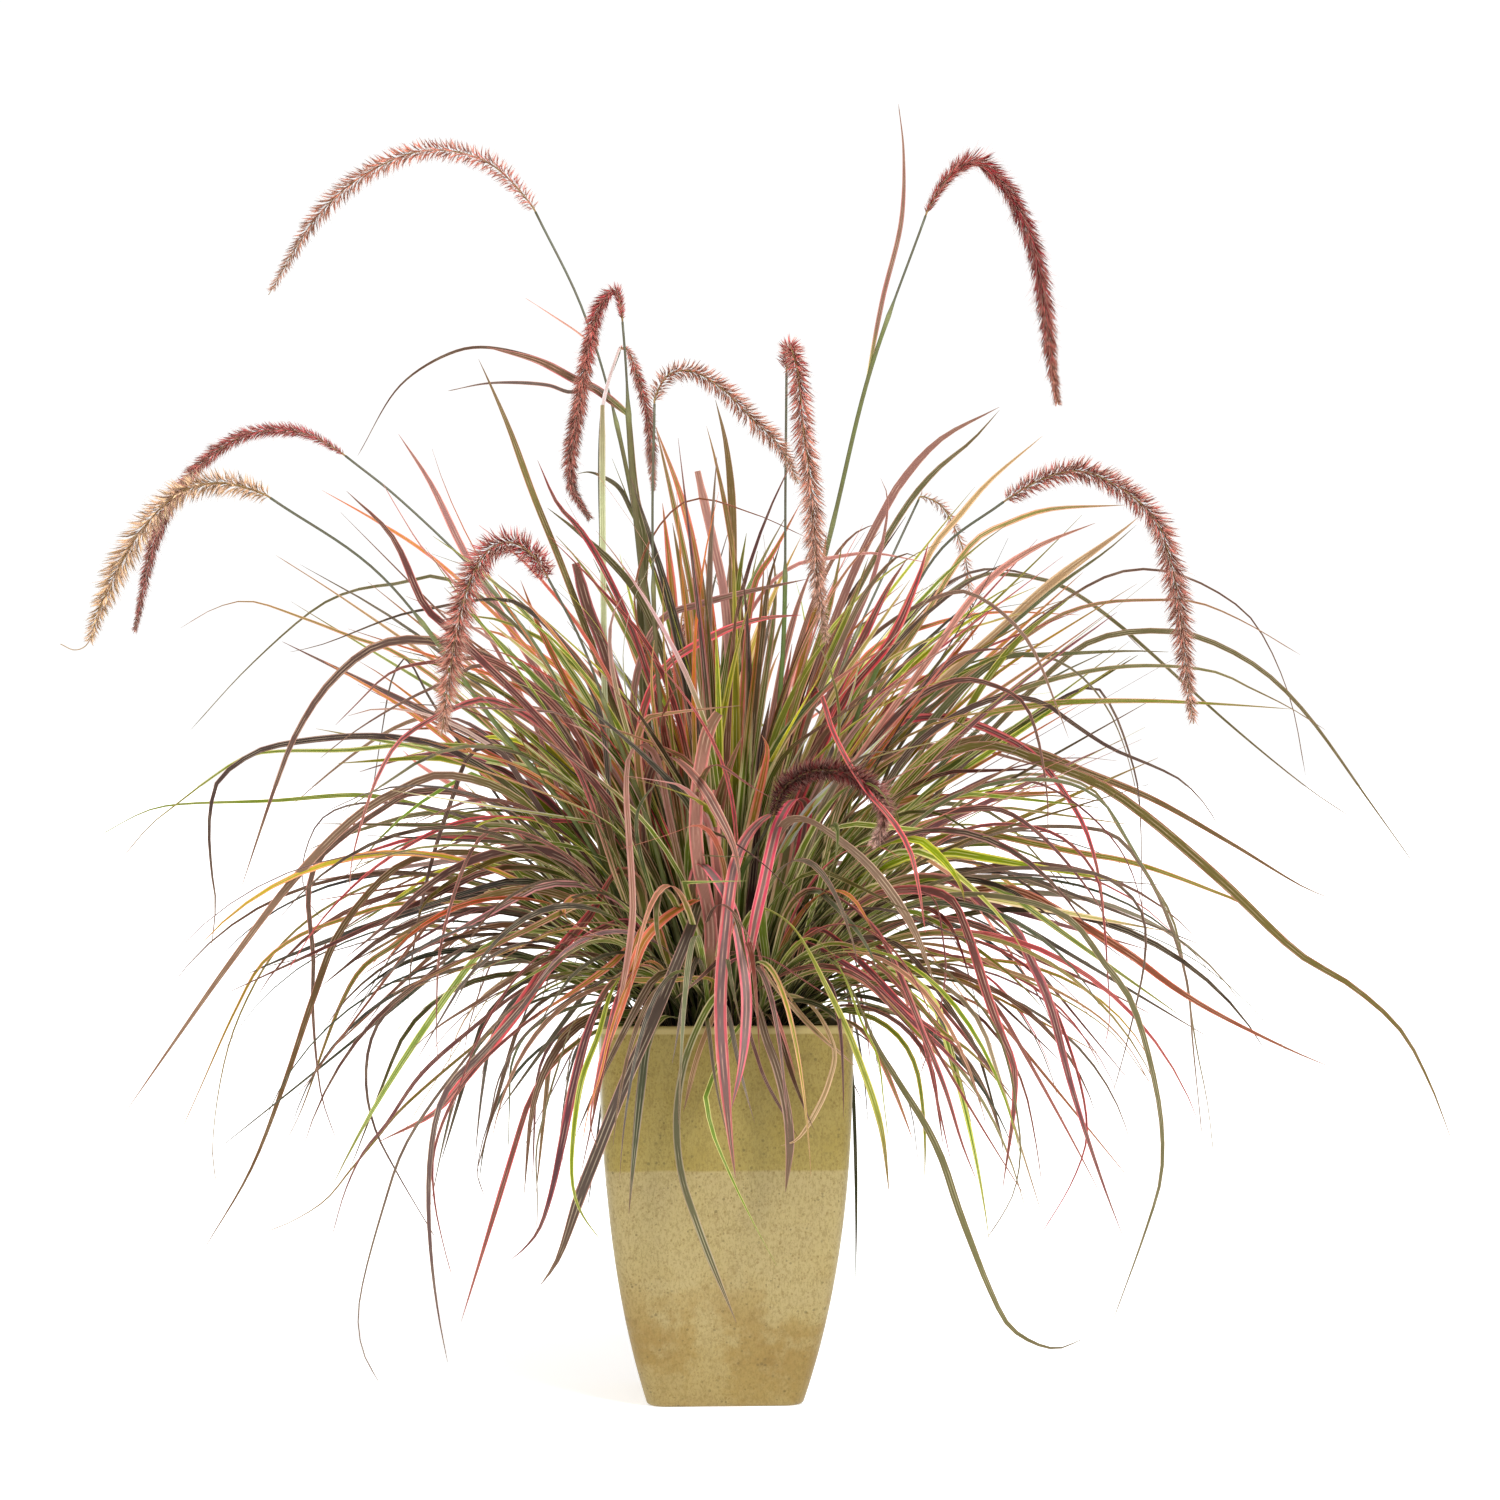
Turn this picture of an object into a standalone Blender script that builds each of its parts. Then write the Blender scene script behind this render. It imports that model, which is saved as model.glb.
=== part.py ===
"""A potted clump of fountain grass: a tall square planter of glazed stoneware, its potting soil,
29 tufts of arching leaves and 14 flower stems, each with its bottle-brush flower spike.

The origin is the middle of the planter's foot, +Z is up and the planter's front face looks to -Y.
The clump was measured as a viewer sees it. A point of it is written as the distance to the right
of the planter's axis and the height, both in millimetres on the upright plane through that axis,
and sight_point() carries it along the line of sight to its true depth.
"""

import math

import bmesh
import bpy
import numpy as np
from mathutils import Matrix, Vector

MM = 0.001
GAP = 0.3 * MM

# The planter
PLANTER_HEIGHT = 376 * MM
FOOT_HALF_WIDTH = 76.5 * MM
RIM_HALF_WIDTH = 122.5 * MM
BELLY_POWER = 2.5
CORNER_RADIUS = 17 * MM
CORNER_SEGMENTS = 3
WALL = 12 * MM
LIP_ROUNDING = 3.5 * MM
RING_COUNT = 6

# The soil
SOIL_TOP = 350 * MM
SOIL_CLEARANCE = 1.2 * MM

# The viewer that the clump was measured from, in millimetres
EYE_DISTANCE = 3600.0
EYE_HEIGHT = 643.0
EYE_ACROSS = 27.5
VIEW_TURN = math.radians(-3)

# The clump: rings of tufts, as the radius, the tufts' azimuths in degrees, the lean of their
# shoots and the shoots' length. The middle ring stands in the gaps between the flower stems.
OUTER_RING = {"radius": 56.0, "azimuths": range(0, 360, 20), "lean": 30.0, "shoot": 76.0}
MIDDLE_RING = {
    "radius": 29.0,
    "azimuths": (20, 79, 138, 181, 224, 270, 321, 350),
    "lean": 8.0,
    "shoot": 84.0,
}
INNER_RING = {"radius": 10.0, "azimuths": (90, 210, 330), "lean": 4.0, "shoot": 96.0}
LEAST_BLADES = {"outer": 4, "middle": 4, "inner": 3}
SHOOT_RADIUS = 5.2
SHOOT_SIDES = 5
STEM_RING_RADIUS = 43.0
GOLDEN = (math.sqrt(5) - 1) / 2

# Stems and spikes, in millimetres
STEM_SIDES = 4
SPIKE_SIDES = 6
STEM_KNEE = 9.0
STEM_STEPS = 5
SPIKE_NECK = 4.0
SPIKE_STEP_LENGTH = 33.0
FEWEST_SPIKE_STEPS = 6
MOST_SPIKE_STEPS = 10
COMB = 0.8

# Leaf blades, in millimetres
STEP_LENGTH = 95.0
FEWEST_STEPS = 3
MOST_STEPS = 6
BLADE_THICKNESS = 0.17
TIP_SHARE = 0.06

# Leaves that shape the outline: tuft ring and azimuth, turn from it, width, and the points that
# the blade passes after it leaves its shoot, as (across, up) or (across, up, depth)
OUTLINE_LEAVES = [
    ("outer", 160, 6, 5, [(-292, 693), (-373, 760), (-475, 792), (-542, 765)]),
    ("outer", 160, -3, 5, [(-222, 753), (-282, 815), (-360, 803), (-477, 723), (-533, 662)]),
    ("outer", 180, 5, 4, [(-286, 719), (-347, 773), (-451, 843)]),
    ("outer", 200, 7, 6, [(-202, 743), (-284, 784), (-347, 768), (-436, 741)]),
    ("outer", 200, 0, 9, [(-286, 754), (-340, 749), (-408, 693), (-438, 641), (-477, 513)]),
    ("outer", 220, -6, 5, [(-286, 710), (-360, 669), (-412, 628), (-451, 584)]),
    ("outer", 140, 6, 6, [(-284, 682), (-347, 658), (-403, 617), (-466, 571)]),
    ("outer", 220, 1, 6, [(-286, 682), (-330, 651), (-358, 597), (-373, 528)]),
    ("outer", 180, -2, 5, [(-204, 586), (-386, 639), (-477, 636), (-555, 597), (-605, 521)]),
    ("outer", 180, -8, 7, [(-260, 571), (-314, 595), (-435, 594), (-569, 584), (-634, 555)]),
    ("outer", 200, -5, 7, [(-347, 656), (-433, 650), (-492, 628), (-513, 578), (-512, 442)]),
    ("outer", 200, 4, 9, [(-282, 618), (-347, 588), (-423, 528), (-492, 437), (-592, 281)]),
    ("outer", 180, 8, 6, [(-347, 516), (-416, 483), (-468, 423), (-541, 265)]),
    ("outer", 160, -8, 4, [(-300, 540), (-392, 488), (-480, 393), (-505, 204)]),
    ("outer", 220, 5, 4, [(-347, 576), (-399, 538), (-414, 485), (-409, 346), (-388, 254)]),
    ("outer", 200, -9, 6, [(-347, 526), (-392, 463), (-411, 382), (-444, 294), (-518, 148)]),
    ("outer", 160, 1, 5, [(-241, 443), (-307, 420), (-365, 386), (-436, 253)]),
    ("outer", 180, 2, 6, [(-244, 423), (-322, 410), (-376, 391)]),
    ("outer", 220, -2, 9, [(-158, 443), (-204, 391), (-258, 317), (-330, 255)]),
    ("outer", 140, 0, 4, [(-178, 400), (-221, 337), (-238, 265), (-241, 199)]),
    ("outer", 220, 9, 5, [(-150, 388), (-178, 288), (-181, 213), (-161, 152)]),
    ("outer", 200, 9, 4, [(-210, 391), (-279, 328), (-322, 279), (-421, 174), (-457, 160)]),
    ("outer", 240, 2, 7, [(-192, 377), (-242, 343), (-284, 290), (-294, 199), (-276, 27)]),
    ("outer", 240, -8, 4, [(-267, 328), (-313, 259), (-345, 170), (-363, 81), (-353, 30)]),
    ("outer", 260, -6, 10, [(-55, 413, -165), (-86, 332, -192), (-126, 245, -205), (-187, 104, -215)]),
    ("outer", 0, 3, 5, [(308, 743), (378, 765), (482, 757), (572, 702), (700, 525)]),
    ("outer", 20, -3, 4, [(378, 813), (436, 823), (499, 806), (548, 757), (584, 617)]),
    ("outer", 20, 4, 4, [(378, 788), (475, 789), (543, 760), (586, 723)]),
    ("outer", 340, 6, 6, [(277, 733), (362, 740), (447, 740), (493, 736)]),
    ("outer", 0, -3, 5, [(316, 703), (426, 727), (514, 714), (596, 668)]),
    ("outer", 340, 4, 6, [(277, 669), (350, 689), (431, 692), (557, 682)]),
    ("outer", 340, -2, 6, [(318, 668), (378, 651), (441, 617), (499, 563)]),
    ("outer", 0, 8, 8, [(318, 633), (378, 614), (451, 588), (523, 542), (614, 494)]),
    ("outer", 340, 8, 10, [(318, 653), (402, 593), (499, 515), (646, 387), (729, 247)]),
    ("outer", 0, -8, 6, [(338, 550), (418, 529), (485, 502), (576, 435)]),
    ("outer", 340, 1, 8, [(278, 513), (338, 489), (418, 435), (499, 379), (606, 325)]),
    ("outer", 20, 8, 4, [(384, 593), (416, 534), (451, 472), (480, 258)]),
    ("outer", 320, 5, 6, [(318, 603), (365, 577), (381, 507), (386, 432), (384, 352)]),
    ("outer", 320, -2, 5, [(338, 463), (377, 435), (415, 374), (440, 251), (389, 67)]),
    ("outer", 300, 2, 6, [(174, 341), (226, 224), (270, 108), (305, 53), (366, 53)]),
    ("outer", 320, -8, 9, [(218, 513), (248, 443), (275, 366), (296, 295), (264, 138)]),
    ("outer", 320, 8, 7, [(268, 493), (300, 443), (338, 333), (399, 155)]),
    ("outer", 300, 6, 8, [(158, 443), (187, 384), (220, 311), (256, 210)]),
    ("outer", 40, 0, 5, [(168, 430), (193, 388), (261, 292), (281, 267)]),
    ("outer", 260, 6, 8, [(-8, 407, -160), (-39, 337, -182), (-48, 256, -188), (16, 67, -170)]),
    ("outer", 280, 2, 8, [(40, 396, -160), (54, 320, -190), (65, 256, -196), (63, 203, -198)]),
    ("outer", 280, 8, 6, [(38, 487, -140), (81, 447, -180), (127, 356, -210), (166, 200, -215)]),
    ("outer", 280, -6, 12, [(45, 520, -180), (30, 496, -215), (22, 404, -240), (8, 273, -250)]),
    ("outer", 260, -2, 13, [(-57, 600, -150), (-30, 539, -220), (-8, 441, -262), (-5, 253, -280)]),
    ("middle", 181, -2, 6, [(-160, 826), (-189, 898), (-246, 1038)]),
    ("middle", 224, 0, 6, [(-89, 754), (-146, 866), (-185, 931)]),
    ("middle", 138, 4, 8, [(-256, 837), (-292, 910), (-324, 959)]),
    ("middle", 224, 3, 6, [(-276, 766), (-330, 856), (-376, 902)]),
    ("middle", 138, 9, 4, [(-269, 814), (-334, 864), (-401, 902)]),
    ("inner", 90, 0, 9, [(13, 824, 60), (12, 886, 80), (0, 970, 105), (-8, 994, 112)]),
    ("inner", 210, -8, 11, [(-12, 816), (-25, 894), (-34, 923)]),
    ("inner", 210, -16, 6, [(-30, 796), (-50, 894), (-67, 967)]),
    ("middle", 181, 2, 10, [(-101, 718), (-129, 771), (-151, 830)]),
    ("middle", 350, 2, 8, [(129, 816), (162, 883), (217, 953), (278, 986)]),
    ("middle", 350, -2, 5, [(178, 793), (235, 866), (319, 956)]),
    ("middle", 321, 2, 6, [(224, 765), (277, 818), (371, 870)]),
    ("middle", 20, -6, 7, [(258, 747), (339, 813), (419, 855)]),
]

# Flower stems and spikes: azimuth, points up the stem from its foot, points along the spike from
# its foot to its tip, and the spike's greatest radius. Points are (across, up) or
# (across, up, depth)
FLOWERS = [
    (155, [(-62, 693), (-100, 943), (-139, 1081), (-187, 1181)],
     [(-232, 1229), (-292, 1243), (-352, 1222), (-405, 1177), (-454, 1098)], 15),
    (10, [(68, 673), (116, 893), (148, 1023), (203, 1177)],
     [(228, 1218), (250, 1231), (279, 1211), (302, 1170), (317, 1122), (330, 1024), (336, 988)],
     12),
    (190, [(-72, 733), (-90, 913), (-97, 1033), (-100, 1071)],
     [(-107, 1102), (-122, 1088), (-136, 1032), (-145, 980), (-152, 930), (-149, 902),
      (-132, 873)], 11),
    (110, [(-60, 563, 80), (-108, 693, 160), (-119, 793, 210), (-120, 988, 260),
           (-103, 1041, 270)],
     [(-95, 1043, 276), (-86, 1020, 280), (-74, 975, 285), (-71, 940, 288), (-69, 901, 290)], 7),
    (255, [(-52, 593, -100), (-67, 753, -125), (-70, 873, -130), (-68, 989, -130)],
     [(-54, 1018, -132), (-32, 1022, -135), (0, 1004, -140), (30, 974, -146), (58, 946, -151),
      (76, 909, -156)], 13),
    (304, [(48, 593, -60), (61, 753, -68), (63, 913, -70), (64, 1020, -72)],
     [(67, 1046, -92), (75, 1021, -118), (81, 962, -128), (88, 910, -135), (92, 853, -142),
      (97, 798, -147), (104, 750, -150)], 15),
    (330, [(88, 553), (168, 753), (218, 843), (281, 891)],
     [(318, 913), (357, 922), (404, 901), (435, 870), (449, 827), (458, 778), (463, 728),
      (471, 669)], 16),
    (170, [(-162, 703), (-222, 793), (-322, 893), (-377, 937)],
     [(-422, 961), (-477, 958), (-527, 923), (-564, 863), (-588, 761)], 10),
    (210, [(-142, 563), (-222, 663), (-342, 818), (-452, 895)],
     [(-500, 910), (-540, 902), (-572, 874), (-600, 833), (-624, 780), (-636, 748), (-648, 743),
      (-662, 749)], 17),
    (236, [(-72, 563), (-112, 673), (-142, 753), (-174, 814)],
     [(-190, 838, -270), (-209, 850, -278), (-230, 846, -286), (-249, 820, -296),
      (-263, 776, -304), (-273, 718, -311), (-281, 656, -315)], 18),
    (284, [(18, 513, -95), (30, 540, -130), (43, 562, -165), (50, 577, -190)],
     [(62, 605, -220), (91, 622, -252), (128, 618, -280), (156, 597, -303), (162, 573, -318),
      (150, 548, -325)], 15),
    (50, [(68, 583, 70), (123, 733, 140), (168, 833, 190), (196, 893, 220)],
     [(218, 888, 235), (233, 863, 245), (243, 833, 250), (250, 753, 255)], 9),
    (90, [(2, 523, 60), (-2, 673, 140), (-12, 753, 220), (-20, 783, 290)],
     [(-30, 778, 330), (-40, 753, 370), (-50, 703, 405), (-55, 633, 420)], 13),
    (68, [(48, 553, 100), (78, 693, 190), (98, 753, 250), (112, 773, 300)],
     [(120, 763, 335), (128, 733, 375), (137, 683, 405), (142, 613, 415)], 13),
]

# Flag leaves that grow from a flower stem: its place in FLOWERS, the share up the stem where the
# leaf leaves it, width and the points to its tip
FLAG_LEAVES = [
    (1, 0.80, 6, [(160, 1093), (179, 1173), (181, 1243), (176, 1289)]),
    (2, 0.92, 9, [(-147, 1023, 25), (-183, 1034, 30), (-240, 1045, 35), (-292, 1030, 40),
                  (-365, 937, 45)]),
]


def turned(point):
    """A point of the viewer's frame in millimetres, in the planter's frame in metres."""
    return Matrix.Rotation(VIEW_TURN, 3, "Z") @ (point * MM)


def sight_point(across, up, depth):
    """The point at this depth, in the viewer's frame, that is seen over (across, up)."""
    spread = 1 + depth / EYE_DISTANCE
    return Vector(
        (
            EYE_ACROSS + (across - EYE_ACROSS) * spread,
            depth,
            EYE_HEIGHT + (up - EYE_HEIGHT) * spread,
        )
    )


def depth_on_plane(across, foot, azimuth):
    """How deep the line of sight over `across` meets the upright plane through `foot`."""
    sine, cosine = math.sin(azimuth), math.cos(azimuth)
    slant = cosine - (across - EYE_ACROSS) * sine / EYE_DISTANCE
    return ((across - foot.x) * sine + foot.y * cosine) / slant


def placed(points, foot, azimuth):
    """The seen points as points of the viewer's frame, on the upright plane through `foot`
    wherever a point states no depth of its own."""
    found = []
    for point in points:
        depth = point[2] if len(point) == 3 else depth_on_plane(point[0], foot, azimuth)
        found.append(sight_point(point[0], point[1], depth))
    return found


def blade_steps(length):
    """How many straight lengths a blade of this length is made of."""
    return max(FEWEST_STEPS, min(MOST_STEPS, round(length / STEP_LENGTH)))


def smooth_route(points, steps=None):
    """steps + 1 points, evenly spaced along the Catmull-Rom curve through the given points. With
    no steps stated, there are as many as a leaf blade of that length takes."""
    knots = np.array([tuple(p) for p in points], float)
    ends = 2 * knots[0] - knots[1], 2 * knots[-1] - knots[-2]
    knots = np.vstack([ends[0], knots, ends[1]])
    gaps = np.sqrt(np.linalg.norm(np.diff(knots, axis=0), axis=1))
    times = np.concatenate([[0], np.cumsum(gaps)])
    fine = []
    for i in range(1, len(knots) - 2):
        t = np.linspace(times[i], times[i + 1], 24, endpoint=i == len(knots) - 3)[:, None]
        t0, t1, t2, t3 = times[i - 1 : i + 3]
        p0, p1, p2, p3 = knots[i - 1 : i + 3]
        a1 = (t1 - t) / (t1 - t0) * p0 + (t - t0) / (t1 - t0) * p1
        a2 = (t2 - t) / (t2 - t1) * p1 + (t - t1) / (t2 - t1) * p2
        a3 = (t3 - t) / (t3 - t2) * p2 + (t - t2) / (t3 - t2) * p3
        b1 = (t2 - t) / (t2 - t0) * a1 + (t - t0) / (t2 - t0) * a2
        b2 = (t3 - t) / (t3 - t1) * a2 + (t - t1) / (t3 - t1) * a3
        fine.append((t2 - t) / (t2 - t1) * b1 + (t - t1) / (t2 - t1) * b2)
    fine = np.vstack(fine)
    lengths = np.concatenate([[0], np.cumsum(np.linalg.norm(np.diff(fine, axis=0), axis=1))])
    wanted = np.linspace(0, lengths[-1], (steps or blade_steps(lengths[-1])) + 1)
    return np.column_stack([np.interp(wanted, lengths, fine[:, k]) for k in range(3)])


def drooping_route(foot, azimuth, rise, fall, length, bend, steps):
    """A blade's route in the upright plane through its foot: it leaves at the angle `rise` above
    the horizon and ends at `fall`, turning by the power `bend` of the length run."""
    share = (np.arange(48) + 0.5) / 48
    angle = rise - (rise - fall) * share**bend
    run = np.concatenate([[0], np.cumsum(np.cos(angle))]) * length / 48
    climb = np.concatenate([[0], np.cumsum(np.sin(angle))]) * length / 48
    at = np.linspace(0, 48, steps + 1)
    out = np.interp(at, np.arange(49), run)
    high = np.interp(at, np.arange(49), climb)
    return np.column_stack(
        [
            foot.x + out * math.cos(azimuth),
            foot.y + out * math.sin(azimuth),
            foot.z + high,
        ]
    )


def material(name, color, roughness):
    made = bpy.data.materials.new(name)
    made.use_nodes = True
    shader = made.node_tree.nodes["Principled BSDF"]
    shader.inputs["Base Color"].default_value = (*color, 1)
    shader.inputs["Roughness"].default_value = roughness
    return made


def new_object(name, mesh, finish, collection):
    made = bpy.data.objects.new(name, mesh)
    made.data.materials.append(finish)
    collection.objects.link(made)
    return made


def swept_mesh(name, route, half_widths, half_depths, sides, broadside):
    """A many-sided primitive, cut into rings and led along a route. The section's width starts
    along `broadside` and is carried on without a twist."""
    work = bmesh.new()
    bmesh.ops.create_cone(
        work, cap_ends=True, segments=sides, radius1=1, radius2=1, depth=1
    )
    long_edges = [e for e in work.edges if abs(e.verts[0].co.z - e.verts[1].co.z) > 0.5]
    last = len(route) - 1
    bmesh.ops.subdivide_edges(work, edges=long_edges, cuts=last - 1)
    frames = []
    side = broadside
    for tangent in np.gradient(route, axis=0):
        forward = Vector(tangent).normalized()
        side = (side - forward * side.dot(forward)).normalized()
        frames.append((side, side.cross(forward)))
    for vertex in work.verts:
        ring = round((vertex.co.z + 0.5) * last)
        side, rise = frames[ring]
        angle = math.atan2(vertex.co.y, vertex.co.x)
        vertex.co = turned(
            Vector(route[ring])
            + side * math.cos(angle) * half_widths[ring]
            + rise * math.sin(angle) * half_depths[ring]
        )
    bmesh.ops.recalc_face_normals(work, faces=work.faces)
    mesh = bpy.data.meshes.new(name)
    work.to_mesh(mesh)
    work.free()
    return mesh


def blade_mesh(name, route, width, azimuth):
    """A leaf blade: a shallow three-sided sweep, narrow at its foot, broadest a third of the way
    along and drawn out to a fine tip."""
    share = np.linspace(0, 1, len(route))
    swell = 0.55 + 0.45 * np.sin(np.minimum(share / 0.35, 1) * math.pi / 2)
    taper = np.clip((1 - share) / 0.65, TIP_SHARE, 1) ** 0.8
    half_widths = width / 2 * swell * taper
    broadside = Vector((-math.sin(azimuth), math.cos(azimuth), 0))
    return swept_mesh(
        name, route, half_widths, half_widths * 2 * BLADE_THICKNESS, 3, broadside
    )


def planter_half_width(share):
    """Half the planter's width at this share of its height: a belly curve that runs straight up
    at the rim."""
    return FOOT_HALF_WIDTH + (RIM_HALF_WIDTH - FOOT_HALF_WIDTH) * (
        1 - (1 - share) ** BELLY_POWER
    )


def square_vessel(top, inset, corner):
    """A box cut into rings and swelled to the planter's belly curve less an inset, with rounded
    upright edges."""
    work = bmesh.new()
    bmesh.ops.create_cube(work, size=2)
    upright = [e for e in work.edges if abs(e.verts[0].co.z - e.verts[1].co.z) > 1]
    bmesh.ops.subdivide_edges(work, edges=upright, cuts=RING_COUNT)
    for vertex in work.verts:
        height = (vertex.co.z + 1) / 2 * top
        half = planter_half_width(height / PLANTER_HEIGHT) - inset
        vertex.co = (vertex.co.x * half, vertex.co.y * half, height)
    corners = [
        e for e in work.edges if abs(e.verts[0].co.z - e.verts[1].co.z) > 0.01 * top
    ]
    bmesh.ops.bevel(
        work, geom=corners, offset=corner, segments=CORNER_SEGMENTS, profile=0.5, affect="EDGES"
    )
    return work


def finished_mesh(work, name):
    bmesh.ops.recalc_face_normals(work, faces=work.faces)
    mesh = bpy.data.meshes.new(name)
    work.to_mesh(mesh)
    work.free()
    return mesh


def make_planter(finish, parts):
    """The square vessel, open at its mouth, with walls, a rounded lip and a rounded foot."""
    work = square_vessel(PLANTER_HEIGHT, 0, CORNER_RADIUS)
    mouth = [f for f in work.faces if f.calc_center_median().z > PLANTER_HEIGHT - GAP]
    bmesh.ops.delete(work, geom=mouth, context="FACES_ONLY")
    planter = new_object("planter", finished_mesh(work, "planter"), finish, parts)
    walls = planter.modifiers.new("walls", "SOLIDIFY")
    walls.thickness = WALL
    walls.offset = -1
    walls.use_even_offset = True
    rounding = planter.modifiers.new("rounded lip and foot", "BEVEL")
    rounding.width = LIP_ROUNDING
    rounding.segments = 2
    rounding.limit_method = "ANGLE"
    rounding.angle_limit = math.radians(55)
    return planter


def hide_helper(helper):
    helper.hide_render = True
    helper.display_type = "WIRE"


def make_soil(finish, parts):
    """The soil fills the planter from its floor to a little under the rim."""
    work = square_vessel(SOIL_TOP, WALL + SOIL_CLEARANCE, CORNER_RADIUS - WALL + 4 * MM)
    floor = WALL + GAP
    below = [v for v in work.verts if v.co.z < floor]
    half = planter_half_width(floor / PLANTER_HEIGHT) - WALL - 4 * SOIL_CLEARANCE
    foot = planter_half_width(0) - WALL - SOIL_CLEARANCE
    for vertex in below:
        vertex.co = (vertex.co.x * half / foot, vertex.co.y * half / foot, floor)
    return new_object("potting_soil", finished_mesh(work, "potting_soil"), finish, parts)


def tuft_foot(ring, azimuth):
    return Vector(
        (
            ring["radius"] * math.cos(azimuth),
            ring["radius"] * math.sin(azimuth),
            (SOIL_TOP + GAP) / MM,
        )
    )


def make_tuft(name, ring, azimuth, outline, extra, finish, parts, helpers):
    """One shoot with its leaf blades, joined into a single body."""
    foot = tuft_foot(ring, azimuth)
    lean = math.radians(ring["lean"])
    along = Vector(
        (
            math.sin(lean) * math.cos(azimuth),
            math.sin(lean) * math.sin(azimuth),
            math.cos(lean),
        )
    )
    top = foot + along * ring["shoot"]
    route = np.linspace(tuple(foot), tuple(top), 2)
    radii = np.array([1.0, 0.5]) * SHOOT_RADIUS
    broadside = Vector((-math.sin(azimuth), math.cos(azimuth), 0))
    shoot = new_object(
        name, swept_mesh(name, route, radii, radii, SHOOT_SIDES, broadside), finish, parts
    )
    flatten_foot(shoot.data)
    blades = bpy.data.collections.new(name + "_blades")
    helpers.children.link(blades)
    for number, (turn, width, points) in enumerate(outline):
        start = foot + along * ring["shoot"] * (0.62 + 0.3 * number / max(1, len(outline)))
        heading = azimuth + math.radians(turn)
        seen = placed(points, foot, heading)
        blade_route = smooth_route([start, *seen])
        mesh = blade_mesh(f"{name}_blade", blade_route, width, heading)
        hide_helper(new_object(f"{name}_outline_{number}", mesh, finish, blades))
    for number, (turn, rise, fall, length, bend, width) in enumerate(extra):
        start = foot + along * ring["shoot"] * (0.66 + 0.3 * number / max(1, len(extra)))
        heading = azimuth + math.radians(turn)
        blade_route = drooping_route(
            start,
            heading,
            math.radians(rise),
            math.radians(fall),
            length,
            bend,
            blade_steps(length),
        )
        mesh = blade_mesh(f"{name}_blade", blade_route, width, heading)
        hide_helper(new_object(f"{name}_extra_{number}", mesh, finish, blades))
    union = shoot.modifiers.new("blades grow from the shoot", "BOOLEAN")
    union.operation = "UNION"
    union.operand_type = "COLLECTION"
    union.collection = blades
    return shoot


def flatten_foot(mesh):
    """Cuts a leaning shoot's or stem's foot level with the soil that it stands on."""
    level = min(v.co.z for v in mesh.vertices)
    low = [v for v in mesh.vertices if v.co.z < level + 8 * MM]
    for vertex in low:
        vertex.co.z = SOIL_TOP + GAP


def extra_blades(ring_name, index, count):
    """Blades by rule for a tuft, spread by the golden section: turn, rise, fall, length, bend and
    width of each."""
    found = []
    for number in range(count):
        share = ((index * 5 + number) * GOLDEN) % 1
        other = ((index * 3 + number) * GOLDEN * GOLDEN + 0.31) % 1
        if ring_name == "outer":
            rise = 22 + 38 * share
            found.append(
                (-8 + 16 * other, rise, -78 + 34 * share, 330 + 260 * other, 1.15, 6 + 3 * share)
            )
        elif ring_name == "middle":
            found.append(
                (-6 + 12 * other, 72 + 7 * share, 36 - 34 * other, 440 + 100 * share, 1.6, 7)
            )
        else:
            found.append(
                (-16 + 32 * other, 80 + 6 * share, 50 - 30 * other, 430 + 90 * share, 2.0, 8)
            )
    return found


def make_tufts(finish, parts, helpers):
    made = 0
    for ring_name, ring in (
        ("outer", OUTER_RING),
        ("middle", MIDDLE_RING),
        ("inner", INNER_RING),
    ):
        for index, degrees in enumerate(ring["azimuths"]):
            outline = [
                (turn, width, points)
                for where, around, turn, width, points in OUTLINE_LEAVES
                if where == ring_name and around == degrees
            ]
            missing = max(0, LEAST_BLADES[ring_name] - len(outline))
            extra = extra_blades(ring_name, index, missing)
            made += 1
            make_tuft(
                f"leaf_tuft_{made:02d}",
                ring,
                math.radians(degrees),
                outline,
                extra,
                finish,
                parts,
                helpers,
            )


def tube(name, route, radii, sides, finish, collection):
    """A round piece along a route: a curve with a radius at each point and filled caps."""
    curve = bpy.data.curves.new(name, "CURVE")
    curve.dimensions = "3D"
    curve.bevel_depth = MM
    curve.bevel_resolution = (sides - 4) // 2
    curve.use_fill_caps = True
    spline = curve.splines.new("POLY")
    spline.points.add(len(route) - 1)
    for point, place, radius in zip(spline.points, route, radii):
        point.co = (*turned(Vector(place)), 1)
        point.radius = radius
    spline.use_smooth = True
    return new_object(name, curve, finish, collection)


def welded_mesh_object(made, collection):
    """The curve object's own shape as a mesh object of its name, its caps welded on."""
    name = made.name
    graph = bpy.context.evaluated_depsgraph_get()
    mesh = bpy.data.meshes.new_from_object(made.evaluated_get(graph))
    work = bmesh.new()
    work.from_mesh(mesh)
    bmesh.ops.remove_doubles(work, verts=work.verts, dist=0.01 * MM)
    bmesh.ops.recalc_face_normals(work, faces=work.faces)
    work.to_mesh(mesh)
    work.free()
    bpy.data.objects.remove(made)
    solid = bpy.data.objects.new(name, mesh)
    collection.objects.link(solid)
    return solid


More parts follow.
